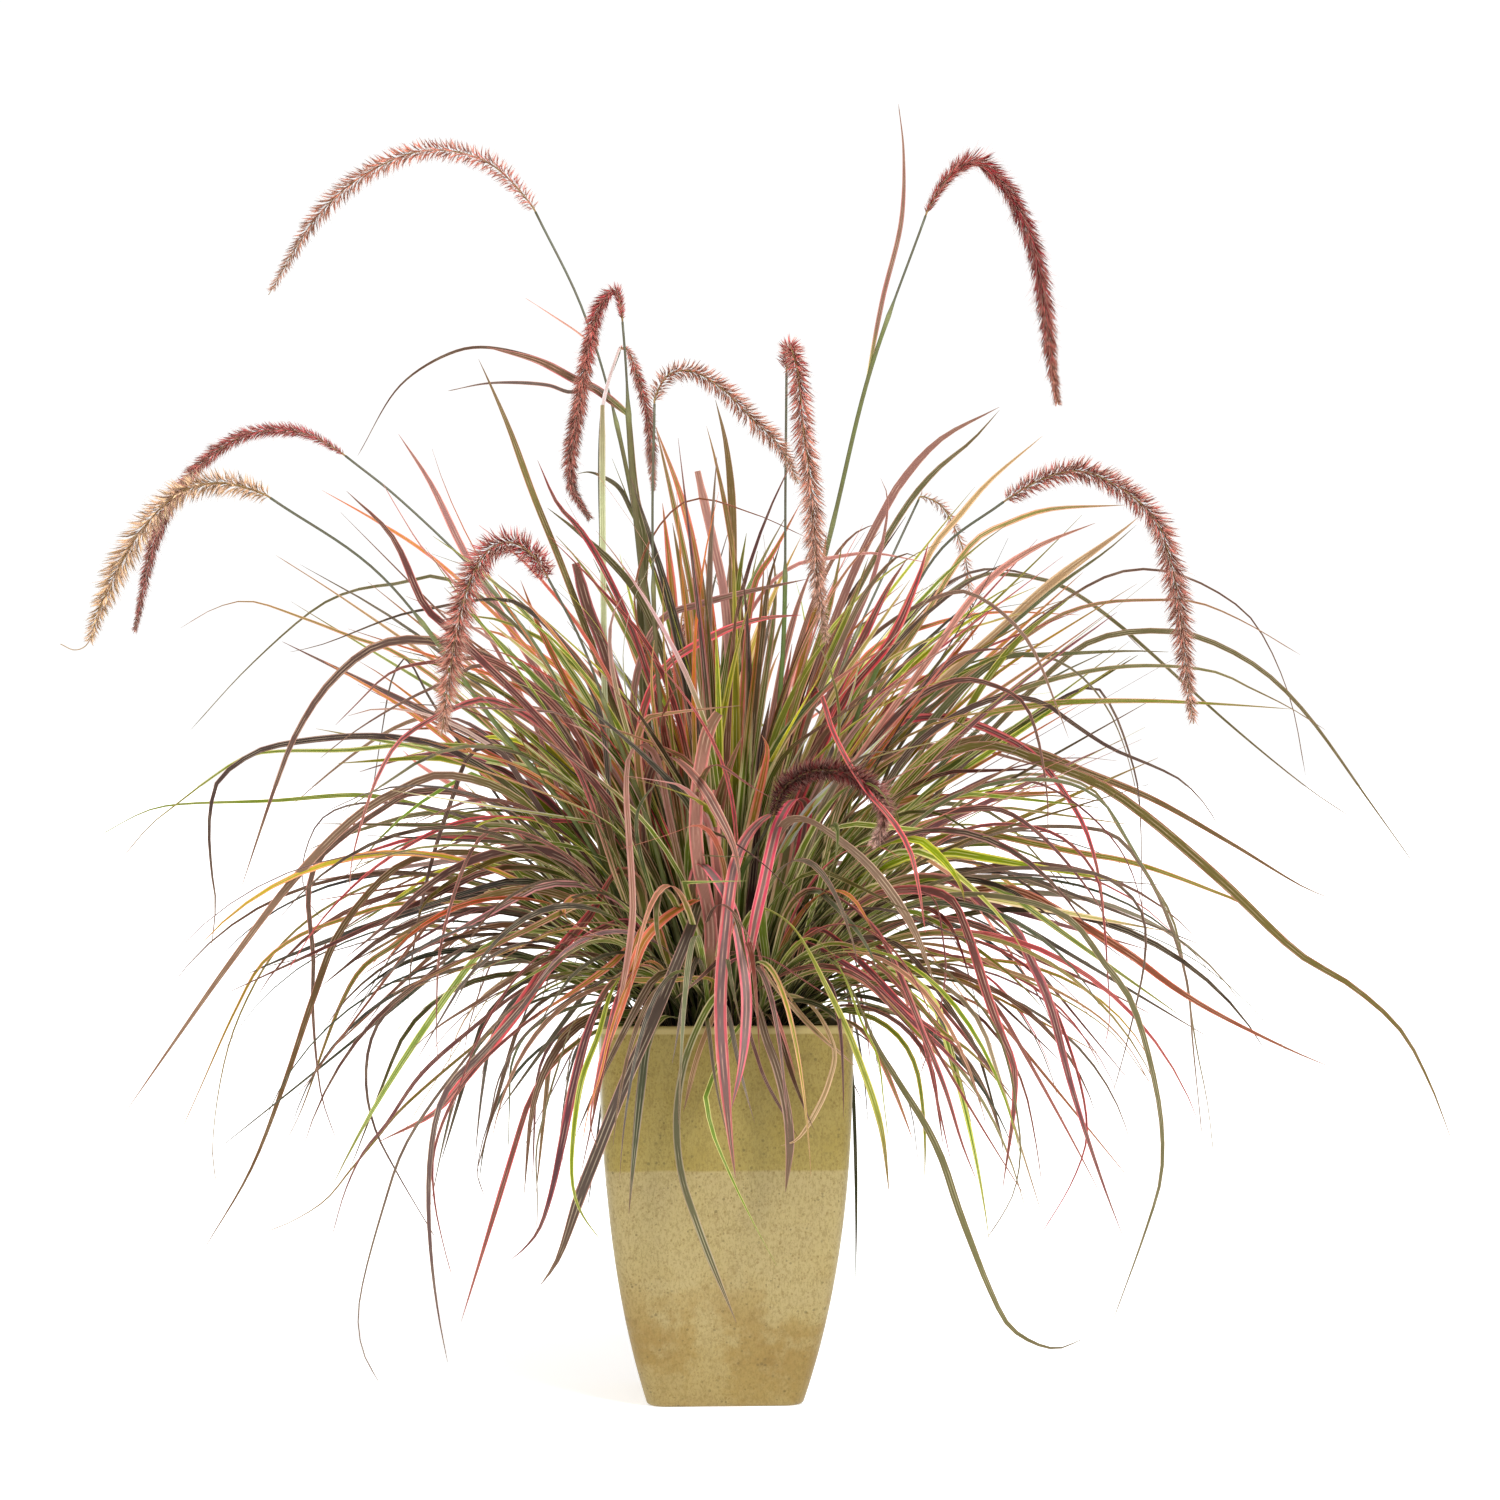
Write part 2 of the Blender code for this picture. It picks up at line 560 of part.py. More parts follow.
def make_stem(number, azimuth, points, flags, finish, parts, helpers):
    """A flower stem: thick with leaf sheaths to its last joint, then a bare thin stalk. It stands
    upright on the soil for its first few millimetres."""
    name = f"flower_stem_{number:02d}"
    foot = Vector(
        (
            STEM_RING_RADIUS * math.cos(azimuth),
            STEM_RING_RADIUS * math.sin(azimuth),
            (SOIL_TOP + GAP) / MM,
        )
    )
    knee = foot + Vector((0, 0, STEM_KNEE))
    route = smooth_route([knee, *placed(points, foot, azimuth)], STEM_STEPS)
    route = np.vstack([foot, route])
    share = np.linspace(0, 1, len(route))
    radii = np.where(share < 0.75, 2.8 - 0.9 * share, 1.5)
    stem = tube(name, route, radii, STEM_SIDES, finish, parts)
    if flags:
        stem = welded_mesh_object(stem, parts)
    for place, width, leaf_points in flags:
        start = Vector([np.interp(place, share, route[:, k]) for k in range(3)])
        blade_route = smooth_route([start, *placed(leaf_points, start, azimuth)])
        mesh = blade_mesh(name + "_flag_leaf", blade_route, width, azimuth)
        leaf = new_object(name + "_flag_leaf", mesh, finish, helpers)
        hide_helper(leaf)
        union = stem.modifiers.new("flag leaf", "BOOLEAN")
        union.operation = "UNION"
        union.object = leaf
    return route, foot


def make_spike(number, azimuth, stem_route, foot, points, radius, finish, parts):
    """A bottle-brush spike, which goes on from its stem in the same line and then bends."""
    name = f"flower_spike_{number:02d}"
    top = Vector(stem_route[-1])
    forward = (top - Vector(stem_route[-2])).normalized()
    start = top + forward * GAP / MM
    neck = start + forward * SPIKE_NECK
    knots = [neck, *placed(points, foot, azimuth)]
    length = sum((ahead - here).length for here, ahead in zip(knots, knots[1:]))
    steps = round(length / SPIKE_STEP_LENGTH)
    route = smooth_route(knots, max(FEWEST_SPIKE_STEPS, min(MOST_SPIKE_STEPS, steps)))
    share = np.linspace(0, 1, len(route))
    radii = radius * np.minimum(1, np.minimum(0.3 + share / 0.25, 0.12 + (1 - share) / 0.42))
    radii = radii * np.where(np.arange(len(route)) % 2, 1.0, COMB)
    route = np.vstack([start, route])
    radii = np.concatenate([[1.5], radii])
    return tube(name, route, radii, SPIKE_SIDES, finish, parts)


def make_flowers(stem_finish, spike_finish, parts, helpers):
    for index, (degrees, stem_points, spike_points, radius) in enumerate(FLOWERS):
        azimuth = math.radians(degrees)
        flags = [flag[1:] for flag in FLAG_LEAVES if flag[0] == index]
        route, foot = make_stem(
            index + 1, azimuth, stem_points, flags, stem_finish, parts, helpers
        )
        make_spike(index + 1, azimuth, route, foot, spike_points, radius, spike_finish, parts)


def main():
    for old in list(bpy.data.objects):
        bpy.data.objects.remove(old)
    parts = bpy.data.collections.new("potted_fountain_grass")
    helpers = bpy.data.collections.new("cutters_and_blades")
    for collection in (parts, helpers):
        bpy.context.scene.collection.children.link(collection)
    glaze = material("stoneware_glaze", (0.42, 0.34, 0.10), 0.35)
    soil = material("potting_soil", (0.03, 0.02, 0.015), 0.95)
    leaf = material("grass_leaf", (0.20, 0.09, 0.07), 0.5)
    stem = material("flower_stem", (0.13, 0.17, 0.07), 0.5)
    spike = material("flower_spike", (0.35, 0.12, 0.11), 0.85)
    make_planter(glaze, parts)
    make_soil(soil, parts)
    make_tufts(leaf, parts, helpers)
    make_flowers(stem, spike, parts, helpers)


main()
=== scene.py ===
"""The look of a potted fountain grass clump: striped arching blades, bristly flower spikes,
a speckled stoneware planter and its soil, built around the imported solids."""

import math

import bpy
import numpy as np
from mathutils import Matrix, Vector


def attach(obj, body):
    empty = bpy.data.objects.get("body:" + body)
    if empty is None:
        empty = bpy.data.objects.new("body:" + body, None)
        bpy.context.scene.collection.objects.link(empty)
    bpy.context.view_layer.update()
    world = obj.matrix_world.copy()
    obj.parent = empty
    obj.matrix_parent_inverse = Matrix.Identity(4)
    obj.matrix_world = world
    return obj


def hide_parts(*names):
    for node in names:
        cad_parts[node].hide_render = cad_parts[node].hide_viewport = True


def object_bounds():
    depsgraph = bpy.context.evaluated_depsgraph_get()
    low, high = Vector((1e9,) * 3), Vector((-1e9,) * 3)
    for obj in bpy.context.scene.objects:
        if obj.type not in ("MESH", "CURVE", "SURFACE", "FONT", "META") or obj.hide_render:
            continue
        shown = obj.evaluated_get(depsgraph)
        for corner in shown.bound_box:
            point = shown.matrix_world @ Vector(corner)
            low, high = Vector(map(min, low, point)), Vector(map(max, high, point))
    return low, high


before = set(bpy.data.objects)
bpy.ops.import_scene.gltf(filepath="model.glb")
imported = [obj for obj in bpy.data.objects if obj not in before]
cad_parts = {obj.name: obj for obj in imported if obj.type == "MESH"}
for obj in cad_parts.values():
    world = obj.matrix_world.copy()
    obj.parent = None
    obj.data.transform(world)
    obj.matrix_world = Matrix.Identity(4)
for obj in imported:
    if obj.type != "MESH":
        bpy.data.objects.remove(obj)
cad_box = [list(corner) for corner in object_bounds()]
chance = np.random.default_rng(23)

# The viewer that the clump was measured from, in millimetres. A route's points are (across, up),
# in millimetres on the upright plane through the planter's axis, or (across, up, depth).
EYE_DISTANCE = 3600.0
EYE_HEIGHT = 643.0
EYE_ACROSS = 27.5
VIEW_TURN = math.radians(-3)
VIEW_WIDTH = 1500.0
SENSOR = 36.0
# Straight away from the viewer
AWAY = np.array([0.0, 1.0, 0.0])

# The white surround: how strongly it lights the object, how bright it shows behind it, and the
# floor's own glow and half its width in metres
AMBIENT = 0.46
BACKDROP = 1.05
FLOOR_GLOW = 0.5
FLOOR_REACH = 60.0
# Broad suns: degrees round from the right, degrees above the floor, power, and degrees across
SUNS = {"key": (-60, 50, 3.25, 16), "fill": (-140, 35, 1.0, 50)}

# The planter and its soil, in millimetres
PLANTER_HEIGHT = 376.0
FOOT_HALF_WIDTH = 76.5
RIM_HALF_WIDTH = 122.5
BELLY_POWER = 2.5
CORNER_RADIUS = 17.0
WALL = 12.0
LIP_ROUNDING = 3.5
SOIL_TOP = 350.0
SOIL_CLEARANCE = 1.2
SOIL_CORNER = 8.0
CRUMBS = 1500
CRUMB_CORNERS = 5
# Samples of a straight side and of a rounded corner, and rings up the belly and down the inside
SIDE_SAMPLES = 15
CORNER_SAMPLES = 9
BELLY_RINGS = 46
INNER_RINGS = 24
# Angles in radians past which an edge of the planter and of a blade stays sharp
PLANTER_CREASE = 1.0
BLADE_CREASE = math.radians(50)
# Heights on the glaze, in metres: the band line, and where the paler band painted as the lip's
# highlight begins and is full
GLAZE_LINE = 0.236
LIP_HIGHLIGHT_BAND = (0.3675, 0.3695)

# The clump: rings of tufts, as on the solids, their feet a little over the soil's own top
RINGS = {
    "outer": {"radius": 56.0, "azimuths": range(0, 360, 20), "lean": 30.0, "shoot": 76.0},
    "middle": {
        "radius": 29.0,
        "azimuths": (20, 79, 138, 181, 224, 270, 321, 350),
        "lean": 8.0,
        "shoot": 84.0,
    },
    "inner": {"radius": 10.0, "azimuths": (90, 210, 330), "lean": 4.0, "shoot": 96.0},
}
FEET_HEIGHT = SOIL_TOP + 0.5
STEM_RING_RADIUS = 43.0
STEM_KNEE = 9.0
STEM_RINGS = 48
STEM_CORNERS = 8
BARE_STEM_RADIUS = 1.3
JOINT_SWELLING = 0.6
# The spikes: a husk of five corners and some finer bristles to a spikelet, round a thin stalk
SPIKE_NECK = 4.0
SPIKE_RINGS = 90
STALK_CORNERS = 6
STALK_RADII = (1.0, 0.4)
# Its spikelets' shares of the outline, where a husk is widest, how far it sags for its length,
# and how dark it is
HUSK_REACHES = (0.84, 1.0)
HUSK_CORNERS = 5
HUSK_WAIST = 0.42
HUSK_SAG = 0.09
HUSK_SHADE = 0.88
# Bristles to a spikelet, their radius, where they begin along the husk, where they are widest,
# how far they scatter, and their length against the husk's
BRISTLES = 5
BRISTLE_RADIUS = 0.15
BRISTLE_CORNERS = 3
BRISTLE_FROM = 0.15
BRISTLE_WAIST = 0.3
BRISTLE_SCATTER = 0.22
BRISTLE_LENGTHS = (0.7, 1.1)
# The tones of the spikelets, and a painted brightening of them all that stands in for light shining
# through the bristles
SPIKE_TONES = (0.6, 1.25)
SPIKE_LIGHT = 1.1
# How much of the bristles' colour is pale, and where along a spike its middle colour stands
USUAL_PALE = 0.72
PALE_SHARES = {2: 0.42, 3: 0.5, 8: 0.5, 11: 0.2}
USUAL_MIDDLE = 0.45
MIDDLES = {11: 0.58}
GOLDEN_ANGLE = math.pi * (3 - math.sqrt(5))
# The first sideways direction of a round tube, which is no stem's or spike's own
TUBE_SIDE = np.array([[0.31, 0.95, 0.02]])

# Blades by rule in each tuft: how many, how far they turn from the tuft's azimuth, the angles
# that they rise and end at, their lengths, how late they bend, their widths, and the share of
# the blade that is still green
RULED_BLADES = {
    "outer": [
        dict(count=6, turn=26, rise=(34, 82), fall=(-86, 4), length=(290, 640), bend=1.5, width=(4, 9),
             ripe=0.24),
        dict(count=3, turn=22, rise=(52, 74), fall=(-89, -66), length=(230, 450), bend=0.78,
             width=(4, 8), ripe=0.16, left_out=(230, 310)),
    ],
    "middle": [
        dict(count=18, turn=28, rise=(56, 87), fall=(-44, 56), length=(400, 640), bend=1.8,
             width=(5, 10.5), ripe=0.4),
        dict(count=6, turn=24, rise=(52, 74), fall=(8, 54), length=(480, 700), bend=1.5,
             width=(4.5, 9), ripe=0.38),
    ],
    "inner": [
        dict(count=26, turn=40, rise=(68, 89), fall=(14, 72), length=(400, 620), bend=2.0,
             width=(6.5, 12), ripe=0.44),
    ],
}
# The blades that a tuft's solid shows. Turn, rise, fall, length and width are each given as
# least, spread, and which of a blade's two golden shares the spread follows
GOLDEN = (math.sqrt(5) - 1) / 2
SOLID_BLADES = {
    "outer": dict(count=4, bend=1.15, turn=(-8, 16, 1), rise=(22, 38, 0), fall=(-78, 34, 0),
                  length=(330, 260, 1), width=(4.5, 3.5, 0)),
    "middle": dict(count=4, bend=1.6, turn=(-6, 12, 1), rise=(72, 7, 0), fall=(36, -34, 1),
                   length=(440, 100, 0), width=(9, 0, 0)),
    "inner": dict(count=3, bend=2.0, turn=(-16, 32, 1), rise=(80, 6, 0), fall=(50, -30, 1),
                  length=(430, 90, 0), width=(10, 0, 0)),
}
# Where they leave the shoot, as a share of it and how far that spreads, and where they ripen
SOLID_START = 0.66
SOLID_START_SPREAD = 0.3
SOLID_RIPE = 0.24
# Rings along a blade by rule and along a leaf with a place of its own, and the thicknesses of a
# blade and of half a thread, in millimetres
BLADE_RINGS = 20
OWN_BLADE_RINGS = 44
BLADE_THICKNESS = 0.28
THREAD_HALF_WIDTH = 0.5
# Along a blade: the power of its taper, the share in which a blunt end rounds off, the share in
# which a thread's tip closes, its roll at the foot and how much of its fold it loses
TAPER_POWER = 0.8
BLUNT_RUN = 0.03
THREAD_RUN = 0.02
ROLL_AT_FOOT = 0.35
FOLD_LOST = 0.6
# Outer blades by rule on the viewer's side, where the azimuth's sine is under FRONT_SINE, have
# this share of their length
FRONT_REACH = 0.7
FRONT_SINE = -0.7
# How many blades by rule are kinked, where along them, and by how many degrees
KINKED_SHARES = {"outer": 0.09, "middle": 0.03, "inner": 0.0}
KINK_PLACES = (0.45, 0.85)
KINK_ANGLES = (15, 50)
# From which share a blade by rule is straight, and how its bend, fold and taper vary
STRAIGHT_TAIL_FROM = (0.5, 1.0)
BENDS = (0.7, 1.5)
FOLDS = (0.1, 0.4)
TAPERS = (0.3, 0.55)
# Scatter of the feet in millimetres and of the heading's drift in degrees, and the roll in degrees
FOOT_SCATTER = 4.5
DRIFT_SCATTER = 38
BLADE_ROLL = 62
ROLL_SCATTER = 24
OWN_ROLL_SCATTER = 18
# The share of a blade over which it swells from its foot, and over which a hanging one does
SWELL = 0.3
HANGING_SWELL = 0.6
# The same for the taper to the tip of a leaf with a place of its own
OWN_TAPER = 0.15
HANGING_TAPER = 0.36
# Such a leaf's start up the shoot and how far that spreads, its fold, how much its colour varies,
# where it ripens, and how much it lies flat to the viewer at each ring
OWN_START = 0.4
OWN_START_SPREAD = 0.3
OWN_FOLDS = (0.1, 0.35)
OWN_SCATTER = 0.3
OWN_RIPE = 0.2
OWN_FACING = 0.15
# A flag leaf's swell, taper, roll and fold, the share where it ripens, and its depth's azimuth
FLAG_SWELL = 0.3
FLAG_TAPER = 0.4
FLAG_ROLL = 0.2
FLAG_FOLD = 0.3
FLAG_RIPE = 0.02
FLAG_AZIMUTH = math.radians(10)
# How far inside the solids' box all blades stay, in millimetres
BOX_MARGIN = 6.0

# Leaf colours as a viewer sees them, 0 to 255: the broad middle, the margins, and how far out
# of half the width the margins begin
LEAF_KINDS = {
    "burgundy": ((98, 60, 56), (180, 86, 86), 0.6),
    "dusk": ((76, 57, 48), (132, 88, 76), 0.74),
    "brown": ((102, 82, 64), (148, 112, 94), 0.7),
    "moss": ((88, 86, 54), (128, 114, 82), 0.68),
    "coral": ((138, 100, 38), (218, 106, 84), 0.48),
    "olive": ((108, 106, 34), (182, 130, 92), 0.52),
    "magenta": ((112, 64, 60), (214, 72, 84), 0.52),
    "hot": ((122, 90, 86), (212, 78, 92), 0.56),
    "mauve": ((146, 96, 90), (214, 132, 124), 0.56),
    "green": ((98, 114, 22), (180, 176, 80), 0.55),
    "lime": ((126, 134, 46), (190, 188, 96), 0.5),
    "tan": ((152, 122, 80), (204, 160, 122), 0.5),
    "rose": ((168, 110, 96), (224, 142, 126), 0.45),
    "cream": ((176, 172, 96), (236, 220, 176), 0.45),
    "pink": ((176, 122, 110), (214, 144, 132), 0.5),
    "rust": ((120, 66, 38), (196, 88, 58), 0.58),
    "flag": ((84, 56, 38), (164, 64, 70), 0.74),
    "sheath": ((172, 180, 136), (200, 206, 168), 0.6),
    "fawn": ((138, 100, 86), (172, 106, 104), 0.6),
    "umber": ((102, 82, 46), (150, 92, 62), 0.62),
    "faded": ((156, 102, 94), (194, 126, 116), 0.6),
    "blush": ((226, 180, 172), (240, 208, 200), 0.5),
    "maroon": ((66, 26, 30), (92, 38, 40), 0.6),
}
# Middle and margin of a blade at its green foot and at its dried tip
FOOT_COLORS = ((112, 132, 34), (236, 226, 160))
TIP_COLORS = ((104, 76, 54), (146, 100, 76))
# How the colour varies from leaf to leaf: its light, which on the whole is painted a little
# brighter to stand in for more light on the leaves, and the range of that, the range of its
# warmth, and the vividness and tint that a warm leaf gains
USUAL_LIGHT = 1.06
LIGHT_SCATTER = 0.34
LIGHT_RANGE = (0.45, 1.26)
WARMTH_RANGE = (-0.8, 1.6)
WARM_VIVIDNESS = 0.36
WARM_TINT = (8, -3, -1)
# Powers of the light by channel, as shade turns a leaf redder, and its foot greener
LIGHT_POWERS = np.array([1.0, 1.05, 1.25])
SHADE_POWERS = np.array([1.0, 1.0, 1.3])
FOOT_SHADE = 0.07
SHADE_POWER = 1.4
# How long a blade takes to ripen, and where it begins to dry and how long that takes
RIPENING_RUN = 0.2
DRY_FROM = 0.84
DRYING_RUN = 0.16
# The shares of the kinds among the blades by rule
RULED_KINDS = {
    "outer": dict(dusk=0.24, burgundy=0.2, brown=0.18, moss=0.18, olive=0.05, coral=0.03, green=0.05,
                  fawn=0.04, tan=0.03),
    "middle": dict(coral=0.18, olive=0.15, green=0.17, lime=0.06, cream=0.05, burgundy=0.13, rose=0.08,
                   magenta=0.06, pink=0.06, dusk=0.06),
    "inner": dict(coral=0.22, olive=0.14, green=0.15, lime=0.1, cream=0.1, rose=0.1, burgundy=0.07,
                  magenta=0.05, pink=0.07),
}

# Leaves with a place of their own, by the ring and azimuth of their tuft: turn from that azimuth,
# width, kind and points, and "blunt" where the leaf ends in a fold instead of a fine tip
OWN_LEAVES = {
    ("outer", 0): [
        (3, 6, "moss", [(318, 713), (358, 748), (388, 761), (428, 766), (468, 763), (508, 748),
         (548, 723), (588, 683), (653, 593), (700, 527)]),
        (-3, 5, "moss", [(278, 693), (328, 713), (408, 727), (493, 721), (528, 705), (568, 685),
         (603, 663)]),
        (8, 8, "umber", [(258, 655), (318, 640), (358, 623), (428, 595), (508, 550), (583, 505),
         (610, 494)]),
        (-8, 6.5, "olive", [(238, 560), (318, 548), (358, 540), (408, 531), (488, 503), (528, 485),
         (578, 438)]),
        (-13, 4, "moss", [(278, 733), (318, 737), (338, 731), (363, 713), (386, 683), (403, 643),
         (418, 583)]),
        (5, 7, "burgundy", [(200, 560), (246, 582), (327, 620), (404, 655)]),
        (0, 3, "dusk", [(330, 690), (372, 706), (389, 686), (408, 636), (416, 601), (420, 473)]),
    ],
    ("outer", 20): [
        (-3, 3, "dusk", [(358, 803), (408, 823), (458, 818), (518, 785), (540, 758), (568, 693),
         (583, 618)]),
        (4, 4.5, "moss", [(250, 815), (293, 818), (338, 808), (388, 775), (423, 745), (508, 668),
         (588, 603), (633, 573)]),
        (-9, 4.5, "umber", [(158, 648), (208, 693), (298, 753), (338, 778), (378, 790), (428, 793),
         (473, 791), (518, 773), (578, 738)]),
        (10, 6, "coral", [(148, 742), (208, 768), (238, 776), (278, 781), (358, 778)]),
        (8, 4, "moss", [(368, 605), (398, 563), (428, 513), (451, 472), (475, 340), (485, 290),
         (492, 230)]),
        (6, 4, "dusk", [(246, 820), (315, 816), (384, 777), (423, 740)]),
    ],
    ("outer", 140): [
        (6, 6, "brown", [(-232, 690), (-282, 681), (-322, 668), (-352, 651), (-387, 625),
         (-434, 585)]),
    ],
    ("outer", 160): [
        (6, 5, "olive", [(-322, 738), (-372, 757), (-422, 776), (-475, 792), (-507, 785),
         (-542, 765)]),
        (-3, 4, "moss", [(-282, 816), (-322, 810), (-367, 803), (-402, 788), (-472, 728),
         (-532, 663)]),
        (-8, 3, "olive", [(-337, 513), (-392, 488), (-432, 458), (-460, 423), (-494, 347), (-510, 243),
         (-505, 203)]),
        (1, 6, "olive", [(-241, 443), (-292, 468), (-327, 448), (-360, 425), (-382, 388), (-422, 281),
         (-437, 250)]),
    ],
    ("outer", 180): [
        (5, 4.5, "tan", [(-222, 688), (-282, 728), (-352, 776), (-392, 803), (-447, 838)]),
        (-2, 4.5, "green", [(-202, 641), (-272, 648), (-322, 648), (-372, 643), (-472, 638),
         (-507, 618), (-547, 588), (-572, 568), (-602, 533)]),
        (-8, 5, "green", [(-222, 558), (-272, 578), (-352, 598), (-452, 593), (-557, 588), (-582, 581),
         (-630, 555)]),
        (12, 6, "dusk", [(-302, 603), (-342, 583), (-377, 558), (-404, 533), (-414, 503), (-409, 433),
         (-410, 393), (-406, 333), (-400, 293), (-385, 250)]),
        (8, 4.5, "olive", [(-332, 488), (-382, 473), (-422, 458), (-460, 430), (-487, 383),
         (-524, 301), (-541, 263)]),
        (2, 6.5, "brown", [(-122, 438), (-182, 435), (-242, 428), (-292, 418), (-332, 410),
         (-350, 405)]),
        (0, 4, "rose", [(-273, 816), (-300, 845), (-323, 881), (-340, 910)]),
        (-5, 3, "dusk", [(-290, 690), (-318, 735), (-330, 715), (-341, 659), (-350, 600)]),
        (5, 2, "dusk", [(-330, 458), (-386, 443), (-458, 426)]),
    ],
    ("outer", 200): [
        (7, 7, "dusk", [(-202, 788), (-242, 793), (-282, 786), (-322, 778), (-402, 748), (-432, 741)]),
        (0, 9, "dusk", [(-222, 728), (-290, 752), (-344, 748), (-392, 711), (-427, 658), (-445, 613),
         (-482, 503)]),
        (-5, 6.5, "dusk", [(-272, 643), (-322, 655), (-382, 656), (-462, 643), (-487, 628),
         (-504, 613), (-513, 575), (-511, 523), (-507, 493), (-509, 463), (-512, 441)]),
        (4, 8.5, "brown", [(-282, 618), (-322, 603), (-362, 580), (-425, 518), (-492, 431),
         (-554, 343), (-597, 281)]),
        (-9, 7, "umber", [(-252, 540), (-292, 538), (-327, 525), (-382, 463), (-410, 393), (-437, 313),
         (-472, 223), (-519, 143)]),
        (12, 3.5, "dusk", [(-262, 443), (-300, 413), (-342, 373), (-354, 343), (-356, 303),
         (-347, 263), (-327, 223), (-284, 150)]),
        (9, 4, "olive", [(-167, 408), (-222, 368), (-322, 283), (-347, 253), (-372, 223), (-397, 193),
         (-432, 171), (-460, 160)]),
        (15, 4.5, "burgundy", [(-192, 408), (-252, 363), (-302, 318), (-337, 268), (-359, 241),
         (-377, 203), (-391, 155)]),
        (2, 6, "dusk", [(-200, 610), (-228, 646), (-251, 640), (-270, 595), (-292, 527), (-311, 432),
         (-315, 383)]),
        (-14, 3, "dusk", [(-360, 590), (-400, 575), (-417, 542), (-420, 512), (-405, 478),
         (-390, 474)]),
        (-2, 5, "magenta", [(-122, 568), (-167, 572), (-258, 572), (-341, 530), (-400, 474),
         (-440, 414)]),
    ],
    ("outer", 220): [
        (-6, 6, "burgundy", [(-232, 733), (-267, 733), (-322, 725), (-342, 713), (-362, 693),
         (-387, 668)]),
        (-12, 5, "dusk", [(-240, 728), (-277, 711), (-312, 695), (-347, 675), (-377, 655),
         (-402, 635)]),
        (1, 6, "burgundy", [(-232, 693), (-272, 683), (-322, 653), (-339, 628), (-354, 593),
         (-372, 523), (-372, 493)]),
        (-9, 10, "dusk", [(-182, 543), (-222, 541), (-267, 525), (-302, 501), (-337, 468),
         (-377, 435)]),
        (-16, 8, "umber", [(-182, 503), (-222, 500), (-272, 483), (-322, 458), (-362, 433)]),
        (-2, 13, "magenta", [(-102, 523), (-132, 478), (-162, 443), (-212, 373), (-267, 303),
         (-287, 281), (-344, 251)]),
        (9, 4, "burgundy", [(-217, 353), (-252, 318), (-272, 288), (-289, 238), (-288, 193),
         (-279, 148), (-270, 115)]),
        (0, 5, "brown", [(-162, 438), (-187, 428), (-242, 393), (-282, 368), (-312, 343)]),
        (12, 3.5, "moss", [(-117, 393), (-162, 381), (-197, 358), (-211, 328), (-213, 293),
         (-214, 243)]),
        (5, 10, "magenta", [(-97, 471), (-127, 461), (-152, 443), (-177, 418), (-205, 388)]),
        (-5, 4, "burgundy", [(-200, 560), (-232, 562), (-251, 542), (-281, 451), (-286, 383),
         (-285, 330)]),
    ],
    ("outer", 240): [
        (2, 7, "brown", [(-162, 433), (-202, 383), (-242, 338), (-272, 308), (-284, 283), (-292, 238),
         (-294, 188), (-291, 133), (-284, 78), (-275, 31)]),
        (-8, 3, "dusk", [(-212, 383), (-262, 328), (-317, 248), (-337, 193), (-364, 83), (-360, 43),
         (-342, 8)]),
        (-2, 3, "dusk", [(-162, 388), (-202, 353), (-224, 313), (-232, 278), (-242, 243), (-245, 218),
         (-237, 195)]),
        (5, 4, "moss", [(-122, 390), (-147, 373), (-164, 328), (-177, 283), (-186, 243), (-185, 193),
         (-186, 158)]),
        (-4, 9, "burgundy", [(-112, 408), (-132, 368), (-150, 303), (-160, 253), (-172, 198),
         (-184, 163), (-200, 143), (-215, 131)]),
        (8, 6, "green", [(-110, 403), (-124, 358), (-142, 308), (-151, 228), (-148, 198), (-140, 178),
         (-122, 153)]),
        (11, 5, "burgundy", [(-104, 398), (-117, 348), (-128, 303), (-132, 268), (-125, 245)]),
        (14, 4, "coral", [(-97, 403), (-114, 353), (-122, 318), (-134, 283), (-140, 251)]),
        (-12, 7, "coral", [(-77, 458), (-112, 428), (-147, 403), (-177, 383), (-192, 371)]),
        (4, 10, "coral", [(-22, 493, -150), (-42, 485, -175), (-62, 471, -190), (-79, 451, -200),
         (-92, 418, -206), (-104, 383, -210), (-115, 348, -212), (-122, 318, -213)]),
        (1, 7, "coral", [(-82, 463, -190), (-97, 408, -205), (-112, 363, -210), (-124, 318, -212),
         (-130, 273, -212)]),
    ],
    ("outer", 260): [
        (-6, 12, "dusk", [(-20, 498, -140), (-30, 468, -165), (-42, 438, -180), (-67, 378, -197),
         (-97, 311, -208), (-125, 241, -213), (-142, 198, -214), (-166, 131, -214),
         (-182, 108, -214)]),
        (6, 7, "moss", [(0, 400, -125), (-8, 395, -140), (-19, 378, -150), (-38, 331, -160),
         (-46, 273, -165), (-41, 218, -167), (-25, 168, -168), (-10, 128, -168), (14, 70, -166)]),
        (0, 5, "tan", [(2, 392, -128), (-4, 386, -140), (-17, 358, -150), (-26, 333, -155),
         (-39, 281, -160)]),
        (-9, 6, "olive", [(-17, 415, -130), (-52, 413, -150), (-87, 413, -160), (-117, 415, -165)]),
        (3, 6.5, "faded", [(-56, 590, -150), (-62, 622, -180), (-70, 642, -202), (-82, 649, -216),
         (-92, 640, -228), (-96, 615, -238), (-94, 563, -247), (-91, 520, -252), (-90, 473, -255),
         (-102, 395, -256), (-114, 340, -254)]),
        (8, 13, "fawn", [(-12, 466, -150), (-16, 493, -170), (-23, 523, -185), (-27, 563, -195),
         (-25, 603, -200), (-20, 638, -203), (-14, 663, -205), (-4, 680, -206)], "blunt"),
        (11, 11, "mauve", [(-2, 493, -120), (-6, 533, -140), (-8, 573, -150),
         (-6, 603, -155)], "blunt"),
    ],
    ("outer", 280): [
